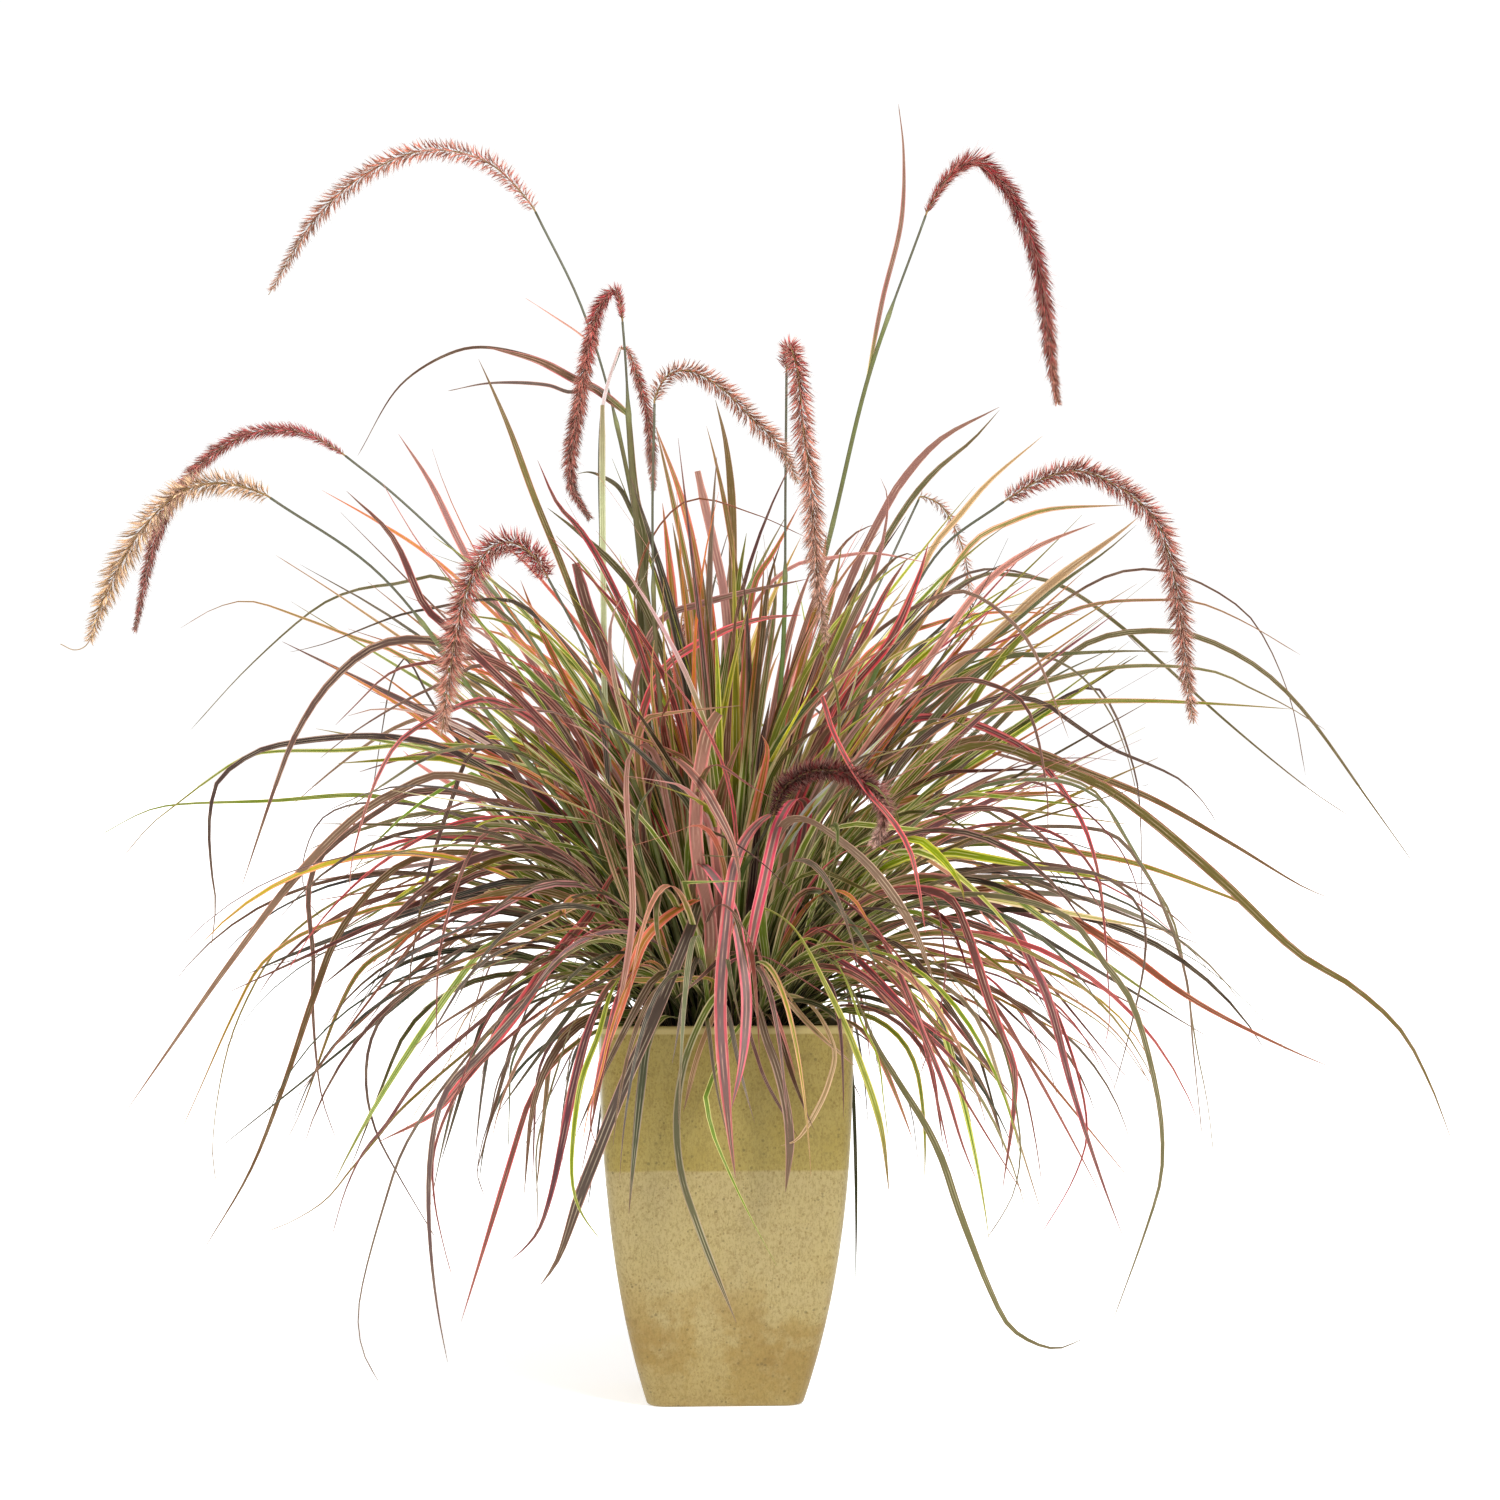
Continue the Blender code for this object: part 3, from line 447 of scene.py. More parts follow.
        (8, 6.5, "lime", [(36, 484, -170), (52, 480, -200), (71, 465, -225), (88, 438, -245),
         (103, 408, -258), (118, 378, -268), (133, 343, -276), (158, 268, -285), (167, 198, -290)]),
        (2, 10, "brown", [(28, 398, -125), (36, 380, -140), (43, 355, -150), (53, 328, -156),
         (61, 298, -160), (66, 268, -163), (67, 243, -164), (63, 201, -165)]),
        (-1, 5, "mauve", [(30, 460, -120), (38, 433, -140), (44, 408, -152), (52, 383, -158),
         (63, 351, -162), (73, 318, -164)]),
        (5, 3.5, "dusk", [(24, 386, -128), (26, 366, -140), (34, 338, -148), (43, 313, -152),
         (75, 256, -155)]),
        (-9, 10.5, "hot", [(-30, 500, -150), (-22, 528, -185), (-8, 515, -208), (6, 492, -226),
         (15, 463, -236), (20, 433, -241), (24, 398, -245), (23, 363, -248), (19, 328, -250),
         (9, 285, -250)]),
    ],
    ("outer", 300): [
        (2, 8, "moss", [(118, 423), (154, 347), (179, 306), (203, 268), (220, 233), (235, 188),
         (250, 148), (268, 103), (286, 68), (308, 51), (336, 43), (363, 53)]),
        (6, 9, "burgundy", [(88, 503), (118, 493), (153, 463), (170, 433), (203, 353), (223, 303),
         (240, 248), (256, 208)]),
        (11, 6, "olive", [(138, 443), (188, 398), (218, 363), (248, 341), (278, 308), (290, 291)]),
        (14, 5, "olive", [(138, 413), (207, 347), (256, 295)]),
        (-10, 4, "green", [(108, 440), (123, 413), (138, 373), (156, 333), (161, 293), (166, 253)]),
        (-6, 5.5, "tan", [(40, 425, -125), (51, 408, -140), (68, 388, -150), (86, 368, -158),
         (135, 325, -166)]),
        (-4, 4, "tan", [(58, 408, -130), (78, 380, -150), (98, 358, -160), (120, 336, -163)]),
        (-9, 5, "tan", [(98, 375, -150), (112, 340, -165), (107, 313, -168), (98, 290, -168),
         (74, 253, -165), (58, 247, -163)]),
        (-2, 9, "brown", [(40, 500, -130), (52, 550, -180), (66, 572, -215), (84, 573, -240),
         (104, 562, -258), (143, 531, -280), (168, 501, -290), (192, 462, -297), (212, 410, -300)]),
    ],
    ("outer", 320): [
        (5, 7, "burgundy", [(188, 690), (238, 713), (278, 705), (300, 691), (313, 663), (325, 593),
         (325, 553)]),
        (0, 4, "moss", [(328, 613), (378, 593), (408, 548), (428, 513), (446, 478), (461, 433)]),
        (-2, 6, "moss", [(298, 493), (348, 473), (383, 428), (408, 393), (434, 303), (440, 253),
         (438, 213), (425, 168), (390, 71)]),
        (3, 4.5, "brown", [(348, 523), (388, 513), (418, 483), (423, 443), (405, 353), (390, 298)]),
        (-8, 11, "burgundy", [(188, 503), (228, 493), (243, 463), (266, 393), (281, 353), (291, 328),
         (292, 293), (280, 203)]),
        (-12, 3, "moss", [(268, 373), (286, 328), (294, 283), (298, 243), (292, 203), (278, 175),
         (263, 153)]),
        (8, 9, "burgundy", [(228, 513), (268, 483), (293, 463), (308, 433), (326, 393), (350, 303),
         (381, 208), (401, 155)]),
        (12, 4, "magenta", [(308, 423), (328, 393), (346, 348), (358, 308), (364, 273), (363, 248),
         (348, 208), (318, 158)]),
        (-5, 9, "burgundy", [(78, 450), (128, 425), (158, 403), (188, 373), (218, 346), (253, 311)]),
        (-15, 7, "magenta", [(98, 463), (146, 423), (175, 393), (208, 365), (243, 341)]),
        (2, 6, "dusk", [(179, 445), (256, 342), (292, 289)]),
        (6, 5, "magenta", [(150, 450), (194, 412), (230, 372), (267, 324), (290, 298)]),
        (10, 3, "olive", [(160, 455), (216, 438), (278, 423), (319, 405), (385, 364), (429, 309)]),
        (-10, 3, "burgundy", [(200, 500), (212, 493), (220, 456), (223, 420), (212, 361), (197, 317)]),
    ],
    ("outer", 340): [
        (6, 8, "moss", [(238, 703), (283, 736), (318, 738), (408, 742), (446, 741)]),
        (4, 7, "olive", [(263, 678), (308, 687), (348, 691), (428, 692), (478, 690), (528, 687),
         (568, 684)]),
        (-2, 6.5, "dusk", [(268, 693), (318, 691), (348, 671), (388, 645), (428, 628), (458, 613),
         (483, 588), (498, 563)]),
        (8, 10, "umber", [(258, 648), (328, 628), (378, 608), (418, 581), (498, 513), (578, 438),
         (628, 408), (678, 363), (708, 308), (729, 253)]),
        (1, 8, "rust", [(208, 493), (283, 505), (313, 495), (338, 481), (408, 438), (448, 408),
         (488, 383), (568, 343), (608, 326)]),
        (9, 8, "magenta", [(148, 648), (178, 671), (228, 675), (278, 658), (313, 636), (356, 578),
         (370, 543), (380, 493), (382, 443)]),
        (-9, 3, "burgundy", [(298, 613), (348, 593), (398, 543), (418, 493), (425, 443)]),
        (-12, 6, "burgundy", [(188, 572), (238, 583), (278, 583), (318, 558), (373, 493), (388, 463)]),
        (12, 4, "brown", [(378, 563), (398, 553), (428, 513), (453, 453), (466, 403), (470, 353),
         (480, 253)]),
        (-15, 4, "tan", [(238, 443), (278, 425), (323, 408), (378, 375), (408, 343), (428, 308)]),
        (-6, 4, "burgundy", [(330, 560), (372, 520), (381, 475), (385, 420), (387, 372), (381, 343)]),
        (-5, 5.5, "burgundy", [(250, 470), (315, 434), (355, 416), (392, 398), (430, 378)]),
    ],
    ("middle", 20): [
        (-6, 10, "tan", [(158, 658), (198, 693), (238, 728), (278, 763), (313, 796), (343, 821),
         (398, 861), (415, 875)]),
        (3, 6, "olive", [(204, 780), (253, 853), (288, 871), (323, 883), (403, 888)]),
    ],
    ("middle", 138): [
        (4, 8, "mauve", [(-256, 837), (-292, 910), (-324, 959)]),
        (9, 4, "coral", [(-259, 809), (-303, 845), (-346, 872), (-401, 903)]),
    ],
    ("middle", 181): [
        (-2, 7, "umber", [(-160, 826), (-189, 898), (-213, 964), (-231, 1006), (-244, 1034)]),
        (2, 12, "burgundy", [(-82, 653), (-102, 693), (-122, 753), (-135, 786), (-147, 830)], "blunt"),
        (5, 10, "moss", [(-81, 796), (-78, 852), (-87, 894), (-92, 981)]),
        (-5, 5.5, "cream", [(-150, 490), (-200, 550), (-258, 610)]),
        (0, 6, "green", [(-140, 500), (-190, 570), (-240, 640)]),
        (4, 5, "lime", [(-160, 470), (-215, 530), (-262, 570)]),
        (12, 6, "coral", [(-112, 613), (-132, 663), (-152, 703), (-182, 763), (-202, 813)]),
        (-10, 6, "olive", [(-142, 563), (-172, 613), (-202, 658), (-232, 703)]),
        (8, 6, "sheath", [(-106, 560, -3), (-117, 680, -3), (-119, 800, -3), (-120, 900, -3),
         (-120, 988, -3)], "blunt"),
        (9, 4, "blush", [(-106, 560, 3), (-117, 680, 3), (-119, 800, 3), (-120, 900, 3),
         (-120, 985, 3), (-114, 1012, 3), (-103, 1045, 3)], "blunt"),
    ],
    ("middle", 224): [
        (0, 7, "magenta", [(-84, 746), (-117, 821), (-143, 864), (-165, 889), (-185, 933)]),
        (3, 7, "burgundy", [(-276, 766), (-297, 786), (-330, 856), (-376, 902)]),
        (-6, 7, "moss", [(-60, 740), (-84, 797), (-110, 830), (-148, 864), (-175, 885)]),
    ],
    ("middle", 270): [
        (4, 12.5, "hot", [(40, 450, -50), (62, 530, -80), (66, 570, -110), (56, 580, -145),
         (40, 573, -178), (24, 555, -204), (13, 530, -222), (8, 505, -233), (4, 470, -242),
         (0, 430, -248), (-2, 393, -252), (-1, 353, -255), (3, 303, -258), (8, 253, -258),
         (13, 215, -257)]),
        (8, 11.5, "hot", [(60, 470, -50), (78, 540, -75), (84, 585, -105), (76, 594, -140),
         (66, 588, -172), (56, 570, -196), (49, 545, -212), (41, 508, -226), (33, 473, -235),
         (28, 443, -240), (25, 408, -243), (24, 385, -244)]),
        (3, 8, "maroon", [(26, 480, -60), (34, 560, -80), (36, 605, -88), (38, 640, -92),
         (48, 695, -96)]),
        (-6, 11, "mauve", [(-70, 480, -45), (-78, 560, -70), (-74, 612, -105), (-64, 634, -150),
         (-52, 636, -190), (-36, 625, -220), (-18, 603, -240), (-5, 580, -250), (6, 559, -256),
         (14, 536, -260), (18, 505, -262)]),
        (0, 8, "magenta", [(-64, 718, -90), (0, 762, -100), (43, 775, -105), (79, 778, -110)]),
    ],
    ("middle", 321): [
        (6, 9, "magenta", [(52, 560, -30), (70, 640, -50), (84, 690, -90), (94, 704, -140),
         (101, 690, -190), (109, 664, -235), (128, 626, -282), (148, 597, -312), (170, 572, -335),
         (187, 543, -350), (196, 506, -360), (203, 460, -364)]),
        (2, 7, "rose", [(213, 743), (248, 793), (278, 823), (318, 848), (373, 870)]),
        (12, 6, "brown", [(92, 690), (116, 745), (147, 806), (180, 839), (196, 836)]),
        (5, 8, "magenta", [(110, 690), (141, 756), (166, 806), (185, 835)]),
        (14, 7, "olive", [(74, 690), (92, 740), (108, 790), (120, 850)]),
        (17, 6, "green", [(86, 680), (104, 730), (130, 790), (146, 836)]),
        (-3, 4, "fawn", [(231, 801), (258, 795), (304, 754), (334, 687), (346, 655)]),
        (-8, 9, "magenta", [(98, 643), (128, 703), (168, 753), (196, 816), (206, 850)]),
        (9, 8, "burgundy", [(118, 603), (158, 653), (198, 703), (238, 738), (288, 745)]),
    ],
    ("middle", 350): [
        (2, 8, "faded", [(129, 816), (162, 883), (178, 910), (217, 953), (277, 986)]),
        (6, 6, "moss", [(178, 878), (212, 921), (250, 953), (277, 983)]),
        (-2, 6, "tan", [(192, 806), (212, 848), (235, 875), (265, 910), (320, 957)]),
        (-9, 4, "moss", [(318, 793), (343, 813), (385, 843), (414, 868)]),
        (9, 5, "fawn", [(80, 760), (112, 836), (136, 862), (158, 870)]),
        (-12, 4.5, "faded", [(128, 760), (149, 811), (162, 861), (165, 897), (158, 915)]),
        (13, 7, "coral", [(70, 690), (84, 750), (96, 800), (104, 860)]),
        (-6, 7, "green", [(231, 662), (265, 715), (297, 754), (350, 797)]),
    ],
    ("inner", 90): [
        (0, 9, "umber", [(10, 802, 60), (9, 894, 80), (3, 951, 95), (-7, 993, 112)]),
        (8, 8, "coral", [(-22, 810, 40), (-39, 889, 60), (-67, 967, 80)]),
    ],
    ("inner", 210): [
        (-8, 9, "pink", [(2, 795), (-9, 850), (-19, 894), (-25, 922)], "blunt"),
        (-16, 6, "olive", [(-30, 796), (-50, 894), (-67, 967)]),
        (4, 9, "coral", [(-40, 640), (-43, 700), (-47, 760), (-52, 820), (-60, 890)]),
    ],
    ("inner", 330): [
        (10, 7, "umber", [(9, 852), (-8, 937), (-16, 967)]),
        (-6, 8, "olive", [(-25, 640), (-30, 720), (-38, 800), (-50, 870)]),
        (14, 4, "rose", [(40, 800), (73, 828), (108, 835), (147, 840), (207, 830)]),
        (-2, 7, "coral", [(20, 700), (26, 773), (34, 814), (50, 839), (78, 890)]),
        (4, 6, "umber", [(34, 700), (40, 760), (46, 810), (58, 850)]),
        (-9, 8, "green", [(10, 690), (14, 760), (16, 810), (24, 860)]),
        (9, 7, "rose", [(52, 690), (62, 740), (76, 790), (92, 832)]),
        (0, 2, "rust", [(-36, 892, -60), (29, 880, -60), (85, 855, -60)]),
        (20, 7, "fawn", [(-61, 774, -70), (-25, 788, -72), (15, 799, -75), (85, 814, -80)]),
    ],
}

# Flowers: stem azimuth, stem points, spike points, greatest radius, the angle that the spikelets
# stand from the stalk at the foot and at the tip, spikelets to a millimetre, the bare length at
# the tip, and the colours at foot, middle and tip, 0 to 255
FLOWERS = [
    (155, [(-62, 693), (-100, 943), (-139, 1081), (-187, 1181)],
     [(-232, 1229), (-292, 1243), (-352, 1222), (-405, 1177), (-454, 1098)],
     15, (66, 40), 1.3, 9, ((192, 112, 104), (198, 120, 98), (172, 122, 96))),
    (10, [(68, 673), (116, 893), (148, 1023), (203, 1177)],
     [(228, 1218), (250, 1231), (279, 1211), (302, 1170), (317, 1122), (330, 1024), (336, 988)],
     12, (34, 27), 2.3, 5, ((140, 54, 52), (158, 50, 58), (184, 122, 102))),
    (190, [(-72, 733), (-90, 913), (-97, 1033), (-100, 1071)],
     [(-107, 1102), (-122, 1088), (-136, 1032), (-145, 980), (-152, 930), (-149, 902), (-132, 873)],
     11, (44, 32), 3.0, 4, ((174, 58, 68), (192, 112, 98), (152, 90, 84))),
    (110, [(-60, 563, 80), (-108, 693, 160), (-119, 793, 210), (-120, 988, 260), (-103, 1041, 270)],
     [(-95, 1043, 276), (-86, 1020, 280), (-74, 975, 285), (-71, 940, 288), (-69, 901, 290)],
     9, (44, 32), 2.4, 4, ((190, 96, 88), (160, 70, 66), (188, 132, 112))),
    (255, [(-52, 593, -100), (-67, 753, -125), (-70, 873, -130), (-68, 989, -130)],
     [(-54, 1018, -132), (-32, 1022, -135), (0, 1004, -140), (30, 974, -146), (58, 946, -151),
      (76, 909, -156)],
     14, (64, 44), 1.8, 5, ((168, 104, 82), (182, 114, 94), (172, 122, 98))),
    (304, [(48, 593, -60), (61, 753, -68), (63, 913, -70), (64, 1020, -72)],
     [(67, 1046, -92), (75, 1021, -118), (81, 962, -128), (88, 910, -135), (92, 853, -142),
      (97, 798, -147), (104, 750, -150)],
     15, (50, 36), 1.9, 5, ((188, 72, 78), (202, 136, 114), (216, 172, 150))),
    (330, [(88, 553), (168, 753), (218, 843), (281, 891)],
     [(318, 913), (357, 922), (404, 901), (435, 870), (449, 827), (458, 778), (463, 728), (471, 669)],
     16, (58, 38), 2.0, 7, ((168, 88, 82), (176, 98, 90), (178, 128, 106))),
    (170, [(-162, 703), (-222, 793), (-322, 893), (-377, 937)],
     [(-422, 961), (-477, 958), (-527, 923), (-564, 863), (-588, 761)],
     10, (42, 30), 2.2, 5, ((174, 62, 76), (172, 92, 86), (142, 78, 78))),
    (210, [(-142, 563), (-222, 663), (-342, 818), (-452, 895)],
     [(-500, 910), (-540, 902), (-572, 874), (-600, 833), (-624, 780), (-636, 748), (-648, 743),
      (-662, 749)],
     17, (60, 42), 1.5, 34, ((210, 176, 136), (220, 186, 148), (202, 172, 124))),
    (236, [(-72, 563), (-112, 673), (-142, 753), (-174, 814)],
     [(-190, 838, -270), (-209, 850, -278), (-230, 846, -286), (-249, 820, -296), (-263, 776, -304),
      (-273, 718, -311), (-281, 656, -315)],
     18.5, (64, 44), 2.2, 8, ((160, 48, 62), (190, 102, 94), (200, 146, 120))),
    (284, [(18, 513, -95), (30, 540, -130), (43, 562, -165), (50, 577, -190)],
     [(62, 605, -220), (91, 622, -252), (128, 618, -280), (156, 597, -303), (162, 573, -318),
      (150, 548, -325)],
     14, (48, 40), 3.4, 3, ((84, 28, 32), (112, 46, 44), (228, 190, 174))),
    (50, [(68, 583, 70), (123, 733, 140), (168, 833, 190), (196, 893, 220)],
     [(218, 888, 235), (233, 863, 245), (243, 833, 250), (250, 753, 255)],
     9, (50, 40), 0.8, 8, ((188, 132, 112), (196, 138, 118), (196, 146, 122))),
    (90, [(2, 523, 60), (-2, 673, 140), (-12, 753, 220), (-20, 783, 290)],
     [(-30, 778, 330), (-40, 753, 370), (-50, 703, 405), (-55, 633, 420)],
     13, (56, 38), 1.3, 7, ((156, 80, 76), (160, 90, 80), (160, 112, 90))),
    (68, [(48, 553, 100), (78, 693, 190), (98, 753, 250), (112, 773, 300)],
     [(120, 763, 335), (128, 733, 375), (137, 683, 405), (142, 613, 415)],
     13, (50, 36), 1.4, 7, ((150, 60, 60), (156, 70, 68), (166, 110, 90))),
]
# How far up its stem the last joint is, where it isn't at the usual share
USUAL_JOINT = 0.72
LAST_JOINTS = {2: 0.87, 3: 0.88, 6: 0.7}
# The radius of a stem's sheathed part, and how green the stem is, from 0 to 1
USUAL_STOUT = 2.4
STOUT_STEMS = {3: 3.2, 4: 1.7}
STEM_GREENS = {3: 0.1, 4: 0.95, 6: 1.0}
RACHIS_COLOR = (150, 124, 84)
BRISTLE_COLOR = (240, 206, 184)
# Leaves on the stems: flower number, share of its stem, width, kind and points
FLAG_LEAVES = [
    (2, 0.8, 5, "fawn", [(160, 1093), (179, 1173), (181, 1243), (176, 1289)]),
    (3, 0.73, 5, "moss", [(-104, 906, 8), (-121, 917, 14), (-134, 921, 18), (-146, 919, 22)]),
    (3, 0.885, 4, "dusk", [(-112, 994, 3), (-130, 1007, 5), (-152, 1001, 8), (-175, 1008, 12),
     (-232, 1010, 16), (-275, 1002, 20)]),
    (3, 0.88, 9, "flag", [(-110, 992, 5), (-128, 1005, 10), (-148, 1014, 17), (-183, 1032, 25),
     (-236, 1046, 32)]),
    (3, 0.88, 3.5, "dusk", [(-110, 993, 8), (-148, 1016, 21), (-183, 1034, 29), (-240, 1046, 36),
     (-272, 1040, 38), (-322, 1008, 42), (-365, 937, 45)]),
    (1, 0.86, 3, "rose", [(-125, 1048), (-152, 1066), (-197, 1095)]),
]


def turned_about_z(points, angle):
    """Points turned about the upright axis."""
    sine, cosine = math.sin(angle), math.cos(angle)
    turn = np.array([[cosine, -sine, 0], [sine, cosine, 0], [0, 0, 1]])
    return np.asarray(points, float) @ turn.T


def to_frame(points):
    """Points of the viewer's frame in millimetres, turned into the planter's frame, in metres."""
    return turned_about_z(points, VIEW_TURN) / 1000


def placed(points, foot, azimuth):
    """Seen points carried along their lines of sight: to their own depth where they state one,
    and otherwise to the upright plane through `foot` that looks towards `azimuth`."""
    sine, cosine = math.sin(azimuth), math.cos(azimuth)
    found = []
    for point in points:
        across, up = point[:2]
        if len(point) == 3:
            depth = point[2]
        else:
            slant = cosine - (across - EYE_ACROSS) * sine / EYE_DISTANCE
            depth = ((across - foot[0]) * sine + foot[1] * cosine) / slant
        spread = 1 + depth / EYE_DISTANCE
        seen_across = EYE_ACROSS + (across - EYE_ACROSS) * spread
        found.append((seen_across, depth, EYE_HEIGHT + (up - EYE_HEIGHT) * spread))
    return found


def distances(points):
    """How far along a route each of its points is."""
    return np.concatenate([[0], np.cumsum(np.linalg.norm(np.diff(points, axis=0), axis=1))])


def sampled(places, marks, rows):
    """Rows of three numbers that stand at the marks, read at places between them."""
    return np.column_stack([np.interp(places, marks, rows[:, k]) for k in range(3)])


def smooth_route(points, count):
    """`count` points, evenly spaced along the centripetal Catmull-Rom curve through the points."""
    knots = np.array([tuple(p) for p in points], float)
    knots = np.vstack([2 * knots[0] - knots[1], knots, 2 * knots[-1] - knots[-2]])
    gaps = np.sqrt(np.linalg.norm(np.diff(knots, axis=0), axis=1))
    times = np.concatenate([[0], np.cumsum(gaps)])
    fine = []
    for i in range(1, len(knots) - 2):
        t = np.linspace(times[i], times[i + 1], 24, endpoint=i == len(knots) - 3)[:, None]
        t0, t1, t2, t3 = times[i - 1 : i + 3]
        p0, p1, p2, p3 = knots[i - 1 : i + 3]
        a1 = (t1 - t) / (t1 - t0) * p0 + (t - t0) / (t1 - t0) * p1
        a2 = (t2 - t) / (t2 - t1) * p1 + (t - t1) / (t2 - t1) * p2
        a3 = (t3 - t) / (t3 - t2) * p2 + (t - t2) / (t3 - t2) * p3
        b1 = (t2 - t) / (t2 - t0) * a1 + (t - t0) / (t2 - t0) * a2
        b2 = (t3 - t) / (t3 - t1) * a2 + (t - t1) / (t3 - t1) * a3
        fine.append((t2 - t) / (t2 - t1) * b1 + (t - t1) / (t2 - t1) * b2)
    fine = np.vstack(fine)
    lengths = distances(fine)
    return sampled(np.linspace(0, lengths[-1], count), lengths, fine)


def unit(vectors):
    """The vectors, each made 1 long."""
    return vectors / np.maximum(np.linalg.norm(vectors, axis=-1, keepdims=True), 1e-9)


def carried_frames(routes, sides, facing=0.0):
    """For routes as an array (route, ring, 3) and each one's first sideways direction: the unit
    side and lift directions at each ring, carried along with no twist of their own, or turned by
    the share `facing` a ring towards lying flat to the viewer."""
    tangents = unit(np.gradient(routes, axis=1))
    found = np.empty_like(routes)
    side = sides
    for ring in range(routes.shape[1]):
        forward = tangents[:, ring]
        side = unit(side - forward * np.sum(side * forward, axis=1, keepdims=True))
        flat = np.cross(AWAY, forward)
        flat = flat * np.sign(np.sum(flat * side, axis=1, keepdims=True))
        side = unit(side + facing * flat)
        found[:, ring] = side
    return found, np.cross(tangents, found)


def grid_faces(grid, total):
    """The faces of closed tubes (tube, ring, corner, 3) whose points are numbered from `total`:
    quads that join each ring to the next, and a cap on each end."""
    tubes, rings, corners = grid.shape[:3]
    index = total + np.arange(tubes * rings * corners).reshape(tubes, rings, corners)
    here, there = index[:, :-1], index[:, 1:]
    quads = np.stack([here, np.roll(here, -1, 2), np.roll(there, -1, 2), there], axis=-1)
    caps = np.concatenate([index[:, 0, ::-1], index[:, -1]])
    return quads.reshape(-1, 4).tolist(), caps.tolist()


def grid_mesh(name, grids):
    """A mesh of closed tubes from grids of points, which may differ in their counts."""
    quads, caps, total = [], [], 0
    for grid in grids:
        grid_quads, grid_caps = grid_faces(grid, total)
        quads += grid_quads
        caps += grid_caps
        total += grid[..., 0].size
    points = np.concatenate([grid.reshape(-1, 3) for grid in grids])
    mesh = bpy.data.meshes.new(name)
    mesh.from_pydata(to_frame(points).tolist(), [], quads + caps)
    return mesh


def finished_piece(name, mesh, finish, values=None, sharp=None):
    """The mesh with its attributes, smooth shading and finish, as an object of the scene."""
    for label, numbers in (values or {}).items():
        numbers = np.asarray(numbers, np.float32)
        if numbers.shape[-1] == 4 and numbers.ndim > 1:
            layer = mesh.attributes.new(label, "FLOAT_COLOR", "POINT")
            layer.data.foreach_set("color", numbers.reshape(-1))
        else:
            layer = mesh.attributes.new(label, "FLOAT", "POINT")
            layer.data.foreach_set("value", numbers.reshape(-1))
    mesh.shade_smooth()
    if sharp is not None:
        mesh.set_sharp_from_angle(angle=sharp)
    mesh.materials.append(finish)
    piece = bpy.data.objects.new(name, mesh)
    bpy.context.scene.collection.objects.link(piece)
    return piece


def linear(colors):
    """Display colours, 0 to 255, as the linear light that a shader takes, with an alpha of 1."""
    share = np.asarray(colors, float) / 255
    light = np.where(share <= 0.04045, share / 12.92, ((share + 0.055) / 1.055) ** 2.4)
    return np.concatenate([light, np.ones(light.shape[:-1] + (1,))], axis=-1)


def blade_section():
    """Corners of a blade's section: right margin, over the upper face to the left margin, and
    the keel below. Each is (place from -1 to 1 across, 1 on the upper face or -1 below)."""
    across = np.array([1.0, 0.55, 0.0, -0.55, -1.0, 0.0])
    face = np.array([0.0, 1.0, 1.0, 1.0, 0.0, -1.0])
    return across, face


def blade_grids(routes, sides, widths, rolls, folds, blunt, swell_run, taper_run, facing=0.0):
    """Blades as closed strips. Half the width is the blade's own times a foot that swells to
    full over the first part of the run and a taper over the last, but no less than a thread's
    before the very tip. The margins rise above the middle by the fold, and the strip rolls
    about its route as it runs on."""
    run = np.linspace(0, 1, routes.shape[1])[None, :]
    foot_share = 0.7 - 0.5 * swell_run[:, None]
    swell = np.sin(np.minimum(run / swell_run[:, None], 1) * math.pi / 2)
    swell = foot_share + (1 - foot_share) * swell
    taper = np.clip((1 - run) / taper_run[:, None], 0.02, 1) ** TAPER_POWER
    taper = np.where(blunt[:, None], np.clip((1 - run) / BLUNT_RUN, 0.7, 1), taper)
    thread = THREAD_HALF_WIDTH * np.clip((1 - run) / THREAD_RUN, 0.05, 1)
    half = np.maximum(widths[:, None] / 2 * swell * taper, thread)
    side, lift = carried_frames(routes, sides, facing)
    roll = (rolls[:, None] * (ROLL_AT_FOOT + (1 - ROLL_AT_FOOT) * run))[..., None]
    side, lift = side * np.cos(roll) + lift * np.sin(roll), lift * np.cos(roll) - side * np.sin(roll)
    across, face = blade_section()
    fold = (folds[:, None] * (1 - FOLD_LOST * run))[..., None]
    raise_by = np.abs(across) * half[..., None] * fold + face * BLADE_THICKNESS / 2
    return (
        routes[:, :, None, :]
        + side[:, :, None, :] * (half[..., None] * across)[..., None]
        + lift[:, :, None, :] * raise_by[..., None]
    )


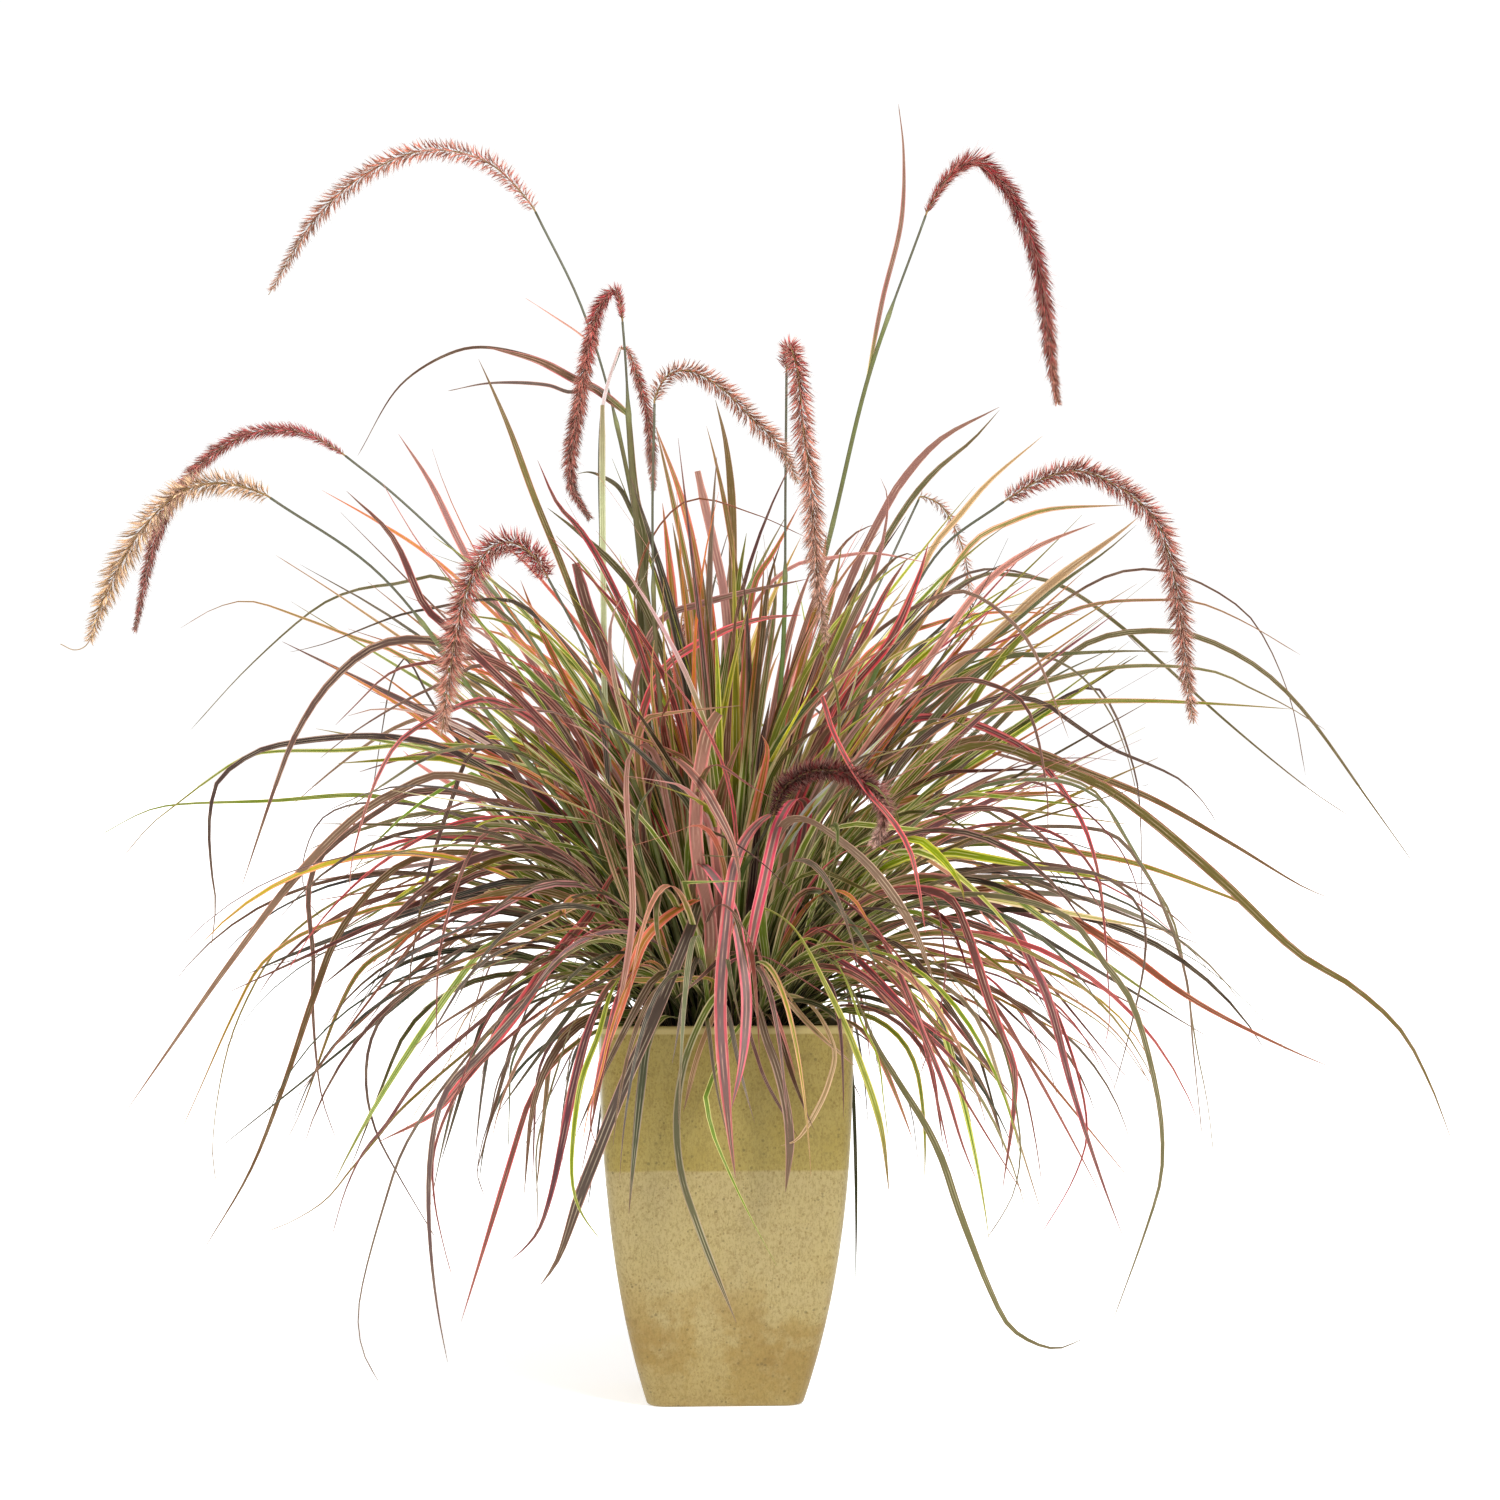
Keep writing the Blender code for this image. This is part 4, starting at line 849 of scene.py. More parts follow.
def blade_values(grid, kinds, ripe_from, scatter=1.0):
    """The attributes of a batch of blades at each point: the middle's and the margins' colour,
    the place across, a number of the leaf's own, and where its margins begin. A blade is dark
    green in the shade at its foot, then green with cream margins, then its own kind, and drier
    at its tip. The kind's colour varies from leaf to leaf by `scatter` times the usual."""
    count, rings, corners = grid.shape[:3]
    own = np.array([LEAF_KINDS[kind][:2] for kind in kinds], float)
    # USUAL_LIGHT paints the leaves a little brighter, standing in for more light on them
    light = USUAL_LIGHT + LIGHT_SCATTER * scatter * chance.standard_normal((count, 1, 1))
    own = own * np.clip(light, *LIGHT_RANGE) ** LIGHT_POWERS
    warm = scatter * np.clip(chance.standard_normal((count, 1, 1)), *WARMTH_RANGE)
    grey = own.mean(axis=-1, keepdims=True)
    own = grey + (own - grey) * (1 + 0.04 * scatter + WARM_VIVIDNESS * warm)
    own = own + warm * WARM_TINT + 3 * chance.standard_normal(own.shape)
    run = np.linspace(0, 1, rings)[None, :, None]
    start = ripe_from * chance.uniform(0.7, 1.4, (count, 1, 1))
    ripe = np.clip((run - start) / RIPENING_RUN, 0, 1)
    dry = np.clip((run - DRY_FROM) / DRYING_RUN, 0, 1) * chance.uniform(0, 0.9, (count, 1, 1))
    shade = FOOT_SHADE + (1 - FOOT_SHADE) * np.clip(run / ripe_from, 0, 1) ** SHADE_POWER
    foot, tip = np.array(FOOT_COLORS, float), np.array(TIP_COLORS, float)
    values = {}
    for part, label in enumerate(("middle_colour", "margin_colour")):
        color = foot[part] * (1 - ripe) + own[:, None, part] * ripe
        color = (color * (1 - dry) + tip[part] * dry) * shade**SHADE_POWERS
        color = linear(np.clip(color, 8, 232))
        values[label] = np.repeat(color[:, :, None, :], corners, axis=2).reshape(-1, 4)
    shape = grid.shape[:3]
    values["across"] = np.broadcast_to(blade_section()[0], shape).reshape(-1)
    values["leaf"] = np.broadcast_to(chance.random(count)[:, None, None], shape).reshape(-1)
    begin = np.array([LEAF_KINDS[kind][2] for kind in kinds]) + chance.normal(0, 0.1, count)
    values["edge_from"] = np.broadcast_to(begin[:, None, None], shape).reshape(-1)
    return values


def facing_sides(routes):
    """First sideways directions that lay blades flat to the viewer."""
    return unit(np.cross(AWAY, routes[:, 1] - routes[:, 0]))


def blades_piece(name, batches, finish):
    """One piece from batches of blades, each a grid and its values."""
    mesh = grid_mesh(name, [grid for grid, _ in batches])
    labels = batches[0][1].keys()
    values = {label: np.concatenate([found[label] for _, found in batches]) for label in labels}
    return finished_piece(name, mesh, finish, values, sharp=BLADE_CREASE)


def drooping_routes(
    feet, headings, drifts, rises, falls, lengths, bends, tails, rings, kinked_share
):
    """Routes that leave their feet at the angle `rises` above the horizon and turn to `falls` by
    the power `bends` of the length run, until the share `tails` of it, and are straight from
    there, while their heading drifts. A share of them is kinked downwards in the last part."""
    share = (np.arange(rings - 1) + 0.5)[None, :] / (rings - 1)
    turned = np.minimum(share / tails[:, None], 1) ** bends[:, None]
    angle = rises[:, None] - (rises - falls)[:, None] * turned
    kinked = chance.random((len(feet), 1)) < kinked_share
    kink_at = chance.uniform(*KINK_PLACES, (len(feet), 1))
    kink = np.radians(chance.uniform(*KINK_ANGLES, (len(feet), 1)))
    angle = angle - np.where(kinked & (share > kink_at), kink, 0)
    heading = headings[:, None] + drifts[:, None] * share**1.5
    step = lengths[:, None] / (rings - 1)
    level = np.cos(angle) * np.cos(heading) * step, np.cos(angle) * np.sin(heading) * step
    moves = np.stack([*level, np.sin(angle) * step], axis=-1)
    reached = [np.zeros((len(feet), 1, 3)), np.cumsum(moves, axis=1)]
    return feet[:, None, :] + np.concatenate(reached, axis=1)


def kept_inside(routes):
    """Shortens each route about its foot until all of it lies inside the solids' box."""
    low = np.array(cad_box[0]) * 1000 + BOX_MARGIN
    high = np.array(cad_box[1]) * 1000 - BOX_MARGIN
    points = to_frame(routes) * 1000
    feet = points[:, :1]
    reach = points - feet
    room = np.where(reach > 0, high - feet, feet - low)
    share = np.min(room / np.maximum(np.abs(reach), 1e-6), axis=(1, 2))
    return routes[:, :1] + (routes - routes[:, :1]) * np.minimum(share, 1)[:, None, None]


def tuft_pieces(finish):
    """One piece of foliage for each tuft: the leaves with a place of their own and those by
    rule, in place of the tuft's solid."""
    number = 0
    for ring_name, ring in RINGS.items():
        for index, degrees in enumerate(ring["azimuths"]):
            number += 1
            tuft_piece(number, ring_name, ring, index, degrees, finish)


def lead_in(start, along, first, second):
    """Two points of the cubic that leaves `start` in the direction `along` and meets a leaf's
    first seen point in the direction of its second, at a third and two thirds of the way."""
    reach = 0.9 * np.linalg.norm(first - start)
    t = np.array([[1 / 3], [2 / 3]])
    return (
        start * (2 * t**3 - 3 * t**2 + 1)
        + along * reach * (t**3 - 2 * t**2 + t)
        + first * (3 * t**2 - 2 * t**3)
        + unit(second - first) * reach * (t**3 - t**2)
    )


def own_leaves(ring_name, degrees, foot, along, shoot):
    """The batch of a tuft's leaves that have a place of their own, as they face the viewer."""
    routes, widths, kinds, blunt, hangs = [], [], [], [], []
    for turn, width, kind, points, *ending in OWN_LEAVES.get((ring_name, degrees), []):
        heading = math.radians(degrees + turn)
        start = foot + along * shoot * (OWN_START + OWN_START_SPREAD * chance.random())
        seen = np.array(placed(points, foot, heading))
        lead = lead_in(start, along, seen[0], seen[1])
        routes.append(smooth_route([foot, start, *lead, *seen], OWN_BLADE_RINGS))
        widths.append(width)
        kinds.append(kind)
        blunt.append("blunt" in ending)
        hangs.append(ring_name == "outer" and len(points[0]) == 2)
    if not routes:
        return []
    routes = kept_inside(np.array(routes))
    count = len(kinds)
    rolls = np.radians(chance.normal(0, OWN_ROLL_SCATTER, count))
    grid = blade_grids(
        routes,
        facing_sides(routes),
        np.array(widths),
        rolls,
        chance.uniform(*OWN_FOLDS, count),
        np.array(blunt),
        np.where(hangs, HANGING_SWELL, SWELL),
        np.where(hangs, HANGING_TAPER, OWN_TAPER),
        facing=OWN_FACING,
    )
    return [(grid, blade_values(grid, kinds, OWN_RIPE, OWN_SCATTER))]


def ruled_leaves(ring_name, azimuth, foot, rule):
    """A batch of a tuft's leaves that are made by rule."""
    count = rule["count"]
    reach = FRONT_REACH if ring_name == "outer" and math.sin(azimuth) < FRONT_SINE else 1.0
    feet = foot + np.column_stack([chance.normal(0, FOOT_SCATTER, (count, 2)), np.zeros(count)])
    headings = azimuth + np.radians(chance.normal(0, rule["turn"], count))
    share = chance.random(count)
    routes = drooping_routes(
        feet,
        headings,
        np.radians(chance.normal(0, DRIFT_SCATTER, count)),
        np.radians(np.interp(share, [0, 1], rule["rise"])),
        np.radians(np.interp(0.6 * share + 0.4 * chance.random(count), [0, 1], rule["fall"])),
        np.interp(0.5 * share + 0.5 * chance.random(count), [0, 1], rule["length"]) * reach,
        rule["bend"] * chance.uniform(*BENDS, count),
        chance.uniform(*STRAIGHT_TAIL_FROM, count),
        BLADE_RINGS,
        KINKED_SHARES[ring_name],
    )
    widths = chance.uniform(*rule["width"], count)
    return turned_blades(ring_name, routes, headings, widths, rule["ripe"])


def turned_blades(ring_name, routes, headings, widths, ripe):
    """Blades along these routes, rolled so that most show the viewer some of their breadth."""
    count = len(routes)
    sides = np.column_stack([-np.sin(headings), np.cos(headings), np.zeros(count)])
    rolls = np.cos(headings) * np.radians(BLADE_ROLL)
    rolls = rolls + np.radians(chance.normal(0, ROLL_SCATTER, count))
    folds = chance.uniform(*FOLDS, count)
    tapers = chance.uniform(*TAPERS, count)
    blunt = np.zeros(count, bool)
    swells = np.full(count, SWELL)
    grid = blade_grids(kept_inside(routes), sides, widths, rolls, folds, blunt, swells, tapers)
    shares = RULED_KINDS[ring_name]
    kinds = chance.choice(list(shares), count, p=list(shares.values()))
    return (grid, blade_values(grid, kinds, ripe))


def spread_leaves(ring_name, index, azimuth, foot, along, shoot):
    """The blades that the tuft's solid shows by rule, spread by the golden section: they leave
    the shoot one over the other and stay in their own upright plane."""
    rule = SOLID_BLADES[ring_name]
    number = np.arange(rule["count"])
    shares = ((index * 5 + number) * GOLDEN % 1, ((index * 3 + number) * GOLDEN**2 + 0.31) % 1)
    measures = []
    for label in ("turn", "rise", "fall", "length", "width"):
        least, spread, which = rule[label]
        measures.append(least + spread * shares[which])
    turn, rise, fall, length, widths = measures
    same = np.ones(len(number))
    leaving = SOLID_START + SOLID_START_SPREAD * number / len(number)
    start = foot + along * shoot * leaving[:, None]
    headings = azimuth + np.radians(turn)
    routes = drooping_routes(
        start,
        headings,
        0 * same,
        np.radians(rise),
        np.radians(fall),
        length,
        rule["bend"] * same,
        same,
        BLADE_RINGS - 1,
        0.0,
    )
    routes = np.concatenate([np.broadcast_to(foot, start.shape)[:, None], routes], axis=1)
    return turned_blades(ring_name, routes, headings, widths, SOLID_RIPE)


def tuft_piece(number, ring_name, ring, index, degrees, finish):
    """One tuft's leaves, in place of its solid."""
    azimuth = math.radians(degrees)
    lean = math.radians(ring["lean"])
    outward = np.array([math.cos(azimuth), math.sin(azimuth), 0])
    along = outward * math.sin(lean) + np.array([0, 0, math.cos(lean)])
    foot = outward * ring["radius"] + np.array([0, 0, FEET_HEIGHT])
    batches = own_leaves(ring_name, degrees, foot, along, ring["shoot"])
    for rule in RULED_BLADES[ring_name]:
        low, high = rule.get("left_out", (0, 0))
        if not low < degrees < high:
            batches.append(ruled_leaves(ring_name, azimuth, foot, rule))
    batches.append(spread_leaves(ring_name, index, azimuth, foot, along, ring["shoot"]))
    name = f"leaf_tuft_{number:02d}"
    piece = blades_piece("foliage_" + name, batches, finish)
    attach(piece, "root")
    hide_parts(name)


def spindles(starts, ends, radii, sides, waist=0.35, sag=0.0):
    """Closed needles, each a ring of corners around its waist, moved by `sag`, and a point at
    either end. Returns the points as an array (needle, sides + 2, 3) and one needle's
    triangles."""
    forward = unit(ends - starts)
    guide = np.where(np.abs(forward[:, 2:]) < 0.8, [[0.0, 0.0, 1.0]], [[1.0, 0.0, 0.0]])
    side = unit(np.cross(guide, forward))
    lift = np.cross(forward, side)
    centre = starts + (ends - starts) * waist + sag
    angle = np.arange(sides) * math.tau / sides
    ring = (
        centre[:, None]
        + side[:, None] * (np.cos(angle)[:, None] * radii[:, None, None])
        + lift[:, None] * (np.sin(angle)[:, None] * radii[:, None, None])
    )
    points = np.concatenate([ring, starts[:, None], ends[:, None]], axis=1)
    here = np.arange(sides)
    ahead = (here + 1) % sides
    to_tip = np.column_stack([here, ahead, np.full(sides, sides + 1)])
    to_foot = np.column_stack([ahead, here, np.full(sides, sides)])
    return points, np.concatenate([to_tip, to_foot])


def joined(batches):
    """All points and all triangles of several batches of spindles."""
    points, faces, total = [], [], 0
    for batch_points, batch_faces in batches:
        needles, corners = batch_points.shape[:2]
        offsets = total + np.arange(needles)[:, None, None] * corners
        points.append(batch_points.reshape(-1, 3))
        faces.append((batch_faces[None] + offsets).reshape(-1, 3))
        total += needles * corners
    return np.concatenate(points), np.concatenate(faces)


def tube_grid(route, radii, corners):
    """A round tube along one route, as a grid of one tube."""
    side, lift = carried_frames(route[None], TUBE_SIDE)
    angle = np.arange(corners) * math.tau / corners
    return (
        route[None, :, None, :]
        + side[:, :, None, :] * (np.cos(angle) * radii[:, None])[None, :, :, None]
        + lift[:, :, None, :] * (np.sin(angle) * radii[:, None])[None, :, :, None]
    )


def flower_routes(degrees, stem_points, spike_points):
    """The stem's route and the spike's, which goes on from it in the same line."""
    azimuth = math.radians(degrees)
    across, back = STEM_RING_RADIUS * math.cos(azimuth), STEM_RING_RADIUS * math.sin(azimuth)
    foot = np.array([across, back, FEET_HEIGHT])
    knee = foot + np.array([0, 0, STEM_KNEE])
    stem = smooth_route([foot, knee, *placed(stem_points, foot, azimuth)], STEM_RINGS)
    forward = unit(stem[-1] - stem[-2])
    start = stem[-1] + forward * 0.3
    neck = start + forward * SPIKE_NECK
    return stem, smooth_route([start, neck, *placed(spike_points, foot, azimuth)], SPIKE_RINGS)


def stem_piece(number, stem, finish):
    """A stem: stout with its leaf sheaths as far as its last joint, bare and thin over it, and
    swollen a little at each joint."""
    name = f"flower_stem_{number:02d}"
    run = np.linspace(0, 1, len(stem))
    last = LAST_JOINTS.get(number, USUAL_JOINT)
    joints = sum(np.exp(-(((run - place) / 0.012) ** 2)) for place in (last - 0.5, last - 0.26, last))
    bare = np.clip((run - last) / 0.02, 0, 1)
    stout = STOUT_STEMS.get(number, USUAL_STOUT) * (1.1 - 0.2 * run)
    radii = stout * (1 - bare) + BARE_STEM_RADIUS * bare + JOINT_SWELLING * joints
    mesh = grid_mesh("stalk_" + name, [tube_grid(stem, radii, STEM_CORNERS)])
    values = {
        "bare": np.repeat(bare, STEM_CORNERS),
        "joint": np.repeat(joints, STEM_CORNERS),
        "green": np.full(len(stem) * STEM_CORNERS, STEM_GREENS.get(number, chance.random())),
    }
    piece = finished_piece("stalk_" + name, mesh, finish, values)
    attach(piece, "root")
    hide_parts(name)


def flag_leaf(number, stem, share, width, kind, points, finish):
    """A leaf that leaves a stem at this share of its length, flat to the viewer."""
    start = stem[int(share * (len(stem) - 1))]
    route = smooth_route([start, *placed(points, start, FLAG_AZIMUTH)], OWN_BLADE_RINGS)[None]
    measures = [np.array([value]) for value in (width, FLAG_ROLL, FLAG_FOLD)]
    ends = [np.array([value]) for value in (FLAG_SWELL, FLAG_TAPER)]
    grid = blade_grids(route, facing_sides(route), *measures, np.zeros(1, bool), *ends)
    values = blade_values(grid, [kind], FLAG_RIPE, OWN_SCATTER)
    flag = blades_piece(f"flag_leaf_{number:02d}", [(grid, values)], finish)
    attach(flag, "root")


def spikelet_colors(stops, middle, run, tone):
    """Linear colours along a spike, from its foot's, middle's and tip's display colours, each
    times its own tone."""
    stops = np.array(stops, float)
    mixed = sampled(run, [0, middle, 1], stops)
    # Times the painted brightening that stands in for light shining through the bristles
    return linear(np.clip(mixed * tone[:, None], 0, 255)) * SPIKE_LIGHT


def spike_piece(number, spike, flower, finish):
    """A flower spike: spikelets stand round the stalk by the golden angle, lean on towards the
    tip and reach the spike's outline, each with finer bristles round it. The outline is the
    radius, less at the foot and tapering over the last part of the run."""
    radius, leans, fullness, bare, colors = flower
    name = f"flower_spike_{number:02d}"
    lengths = distances(spike)
    total = lengths[-1]
    count = int(total * fullness)
    at = np.linspace(2, total - bare, count) + chance.uniform(-0.5, 0.5, count)
    run = (at - 2) / (total - bare)
    base = sampled(at, lengths, spike)
    forward = unit(sampled(at + 2, lengths, spike) - base)
    carried = carried_frames(spike[None], TUBE_SIDE)[0]
    side = unit(sampled(at, lengths, carried[0]))
    lift = unit(np.cross(forward, side))
    around = np.arange(count) * GOLDEN_ANGLE + chance.normal(0, 0.2, count)
    outward = side * np.cos(around)[:, None] + lift * np.sin(around)[:, None]
    slim_foot = 0.42 if leans[0] < 50 else 0.75
    rising = np.interp(run, [0, 0.16], [slim_foot, 1])
    envelope = radius * np.minimum(rising, np.interp(run, [0.7, 1], [1, 0.34]))
    lean = np.radians(np.interp(run, [0, 1], leans) + chance.normal(0, 5, count))
    ways = forward * np.cos(lean)[:, None] + outward * np.sin(lean)[:, None]
    reach = envelope / np.sin(lean) * chance.uniform(*HUSK_REACHES, count)
    thick = np.clip(0.045 * reach, 0.4, 0.75)
    sag = forward * (HUSK_SAG * reach)[:, None]
    tips = base + ways * reach[:, None]
    husks = spindles(base + outward * 0.4, tips, thick, HUSK_CORNERS, HUSK_WAIST, sag)
    origin = np.repeat(base + ways * (reach * BRISTLE_FROM)[:, None], BRISTLES, axis=0)
    scatter = BRISTLE_SCATTER * chance.standard_normal((count * BRISTLES, 3))
    bristle_ways = unit(np.repeat(ways, BRISTLES, axis=0) + scatter)
    bristle_reach = np.repeat(reach, BRISTLES) * chance.uniform(*BRISTLE_LENGTHS, count * BRISTLES)
    bristles = spindles(
        origin,
        origin + bristle_ways * bristle_reach[:, None],
        np.full(count * BRISTLES, BRISTLE_RADIUS),
        BRISTLE_CORNERS,
        BRISTLE_WAIST,
        np.repeat(sag, BRISTLES, axis=0),
    )
    stalk = tube_grid(spike, np.linspace(*STALK_RADII, len(spike)), STALK_CORNERS)
    points, faces = joined([husks, bristles])
    quads, caps = grid_faces(stalk, len(points))
    mesh = bpy.data.meshes.new("bristles_" + name)
    every = np.concatenate([points, stalk.reshape(-1, 3)])
    mesh.from_pydata(to_frame(every).tolist(), [], faces.tolist() + quads + caps)
    tone = chance.uniform(*SPIKE_TONES, count)
    middle = MIDDLES.get(number, USUAL_MIDDLE)
    husk_color = spikelet_colors(colors, middle, run + chance.normal(0, 0.05, count), tone)
    hair_share = PALE_SHARES.get(number, USUAL_PALE)
    hair_color = (1 - hair_share) * husk_color + hair_share * SPIKE_LIGHT * linear(BRISTLE_COLOR)
    painted = np.repeat((husk_color * HUSK_SHADE)[:, None], HUSK_CORNERS + 2, axis=1)
    painted[:, -2] = 0.4 * painted[:, -2] + 0.6 * linear(RACHIS_COLOR)
    painted[:, -1] = painted[:, -1] * 0.8
    hairs = np.repeat(hair_color, BRISTLES * (BRISTLE_CORNERS + 2), axis=0)
    stalk_points = len(spike) * STALK_CORNERS
    rachis = np.repeat(linear(RACHIS_COLOR)[None] * SPIKE_LIGHT, stalk_points, axis=0)
    color = np.clip(np.concatenate([painted.reshape(-1, 4), hairs, rachis]), 0, 1)
    piece = finished_piece("bristles_" + name, mesh, finish, {"spike_colour": color})
    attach(piece, "root")
    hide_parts(name)


def belly(height):
    """Half the planter's width at a height, in millimetres."""
    share = np.clip(height / PLANTER_HEIGHT, 0, 1)
    return FOOT_HALF_WIDTH + (RIM_HALF_WIDTH - FOOT_HALF_WIDTH) * (1 - (1 - share) ** BELLY_POWER)


def rounded_square():
    """The way round a square with rounded corners: for each sample, its place on the unit square
    of the corners' centres and its outward direction. A section is then the half width less the
    corner radius times the place, plus the corner radius times the direction."""
    places, outwards = [], []
    for quarter in range(4):
        turn = quarter * math.pi / 2
        cosine, sine = math.cos(turn), math.sin(turn)
        rotation = np.array([[cosine, sine], [-sine, cosine]])
        along = np.linspace(-1, 1, SIDE_SAMPLES)
        places.append(np.column_stack([np.ones(SIDE_SAMPLES), along]) @ rotation)
        outwards.append(np.tile([1.0, 0.0], (SIDE_SAMPLES, 1)) @ rotation)
        arc = np.linspace(0, math.pi / 2, CORNER_SAMPLES)[1:-1]
        places.append(np.ones((len(arc), 2)) @ rotation)
        outwards.append(np.column_stack([np.cos(arc), np.sin(arc)]) @ rotation)
    return np.concatenate(places), np.concatenate(outwards)


def square_rings(profile):
    """The surface that the profile's rows (half width, height, corner radius) sweep round the
    rounded square, as a grid of one tube."""
    places, outwards = rounded_square()
    half, height, corner = (column[:, None, None] for column in np.array(profile, float).T)
    flat = np.maximum(half - corner, 0) * places + corner * outwards
    heights = np.broadcast_to(height, flat.shape[:2] + (1,))
    return np.concatenate([flat, heights], axis=-1)[None]


def unturned(points):
    """Points already in the planter's frame, put into the viewer's frame that to_frame takes."""
    return turned_about_z(points, -VIEW_TURN)


def planter_piece(finish):
    """The planter: up the belly curve from a rounded foot, over a rounded lip, down the inner
    wall and across the floor."""
    heights = np.linspace(LIP_ROUNDING, PLANTER_HEIGHT - LIP_ROUNDING, BELLY_RINGS)
    arc = np.radians(np.linspace(-90, 0, 6))[:-1]
    profile = [(20, 0, 3)]
    for angle in arc:
        inset = LIP_ROUNDING * (1 - math.cos(angle))
        rise = LIP_ROUNDING * (1 + math.sin(angle))
        profile.append((float(belly(rise)) - inset, rise, CORNER_RADIUS))
    profile += [(float(belly(z)), z, CORNER_RADIUS) for z in heights]
    for angle in np.radians(np.linspace(15, 165, 9)):
        out = math.cos(angle)
        rise = PLANTER_HEIGHT - LIP_ROUNDING + LIP_ROUNDING * math.sin(angle)
        middle = RIM_HALF_WIDTH - WALL / 2
        reach = (WALL / 2 - LIP_ROUNDING) * np.sign(out) + LIP_ROUNDING * out
        profile.append((middle + reach, rise, CORNER_RADIUS - WALL / 2))
    inner = np.linspace(PLANTER_HEIGHT - LIP_ROUNDING, WALL, INNER_RINGS)
    profile += [(float(belly(z)) - WALL, z, CORNER_RADIUS - WALL + 2) for z in inner]
    profile.append((20, WALL, 3))
    mesh = grid_mesh("glazed_planter", [unturned(square_rings(profile))])
    piece = finished_piece("glazed_planter", mesh, finish, sharp=PLANTER_CREASE)
    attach(piece, "root")
    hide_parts("planter")


def soil_piece(finish):
    """The soil: a block whose top is uneven by a sum of sines, with crumbs and chips on it."""
    side = belly(SOIL_TOP) - WALL - SOIL_CLEARANCE
    shares = np.linspace(0.02, 0.97, 26)
    profile = [(30, WALL + 1, 4)]
    heights = np.linspace(20, SOIL_TOP - 4, 12)
    profile += [(belly(z) - WALL - SOIL_CLEARANCE, z, SOIL_CORNER) for z in heights]
    profile += [(side * share, SOIL_TOP, SOIL_CORNER * share) for share in shares[::-1]]
    grid = unturned(square_rings(profile))
    x, y, z = grid[..., 0], grid[..., 1], grid[..., 2]
    rough = 1.3 * np.sin(x / 5.1 + y / 9.3) + 1.1 * np.sin(y / 4.3 - x / 11) + 0.8 * np.sin(x / 2.3)
    grid[..., 2] = np.where(z > SOIL_TOP - 1, z - 1.5 + rough, z)
    mesh = grid_mesh("potting_soil_surface", [grid])
    piece = finished_piece("potting_soil_surface", mesh, finish)
    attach(piece, "root")
    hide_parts("potting_soil")
    spot = chance.uniform(-side + 4, side - 4, (CRUMBS, 2))
    starts = np.column_stack([spot, SOIL_TOP - 1 + chance.uniform(0, 3, CRUMBS)])
    ways = unit(chance.standard_normal((CRUMBS, 3)) * [1, 1, 0.35])
    size = chance.gamma(3, 1.3, CRUMBS)[:, None] + 1
    crumbs = spindles(starts, starts + ways * size, 0.35 * size[:, 0], CRUMB_CORNERS, 0.5)
    points, faces = joined([crumbs])
    mesh = bpy.data.meshes.new("soil_crumbs")
    mesh.from_pydata(to_frame(unturned(points)).tolist(), [], faces.tolist())
    chips = np.repeat(chance.random(CRUMBS), CRUMB_CORNERS + 2)
    crumb = finished_piece("soil_crumbs", mesh, finish, {"chip": chips})
    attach(crumb, "root")


class Nodes:
    """A short way to add and link the nodes of one tree."""

    def __init__(self, tree):
        self.tree = tree

    def add(self, kind, **settings):
        """A new node with these settings."""
        made = self.tree.nodes.new("ShaderNode" + kind)
        for label, value in settings.items():
            setattr(made, label, value)
        return made

    def link(self, source, target):
        """A link from an output to an input."""
        self.tree.links.new(source, target)

    def put(self, value, socket):
        """A link where the value is an output, and otherwise the value itself."""
        if isinstance(value, bpy.types.NodeSocket):
            self.link(value, socket)
        else:
            socket.default_value = value

    def math(self, operation, a, b=0.0, c=0.0):
        """The result of one sum."""
        made = self.add("Math", operation=operation)
        for value, socket in zip((a, b, c), made.inputs):
            self.put(value, socket)
        return made.outputs[0]

    def smooth(self, value, low, high):
        """0 up to `low`, 1 from `high` on, and a soft step between them."""
        made = self.add("MapRange", interpolation_type="SMOOTHSTEP")
        self.put(value, made.inputs[0])
        self.put(low, made.inputs[1])
        self.put(high, made.inputs[2])
        return made.outputs[0]

    def mix(self, share, a, b, blend="MIX"):
        """Colour `a` with this share of `b` over it."""
        made = self.add("Mix", data_type="RGBA", blend_type=blend)
        self.put(share, made.inputs[0])
        self.put(a, made.inputs[6])
        self.put(b, made.inputs[7])
        return made.outputs[2]

    def tint(self, color, mask, strength, over):
        """The colour with another over it where the mask is, by the strength."""
        return self.mix(self.math("MULTIPLY", mask, strength), color, over)

    def below(self, value, low, high):
        """1 up to `low`, 0 from `high` on, and a soft step between them."""
        return self.math("SUBTRACT", 1.0, self.smooth(value, low, high))

    def noise(self, scale, detail, vector, rough=0.55):
        """Soft random patches, so many to a metre as `scale` says."""
        made = self.add("TexNoise")
        made.inputs["Scale"].default_value = scale
        made.inputs["Detail"].default_value = detail
        made.inputs["Roughness"].default_value = rough
        self.link(vector, made.inputs["Vector"])
        return made.outputs[0]

    def attribute(self, label, color=False):
        """An attribute of the mesh, as a number or as a colour."""
        made = self.add("Attribute", attribute_name=label)
        return made.outputs["Color"] if color else made.outputs["Fac"]

    def object_place(self):
        """The place on the object, in metres."""
        return self.add("TexCoord").outputs["Object"]


def new_finish(name, roughness, specular=0.5):
    """A new material, its node helper and its Principled shader."""
    finish = bpy.data.materials.new(name)
    finish.use_nodes = True
    shader = finish.node_tree.nodes["Principled BSDF"]
    shader.inputs["Roughness"].default_value = roughness
    shader.inputs["Specular IOR Level"].default_value = specular
    return finish, Nodes(finish.node_tree), shader


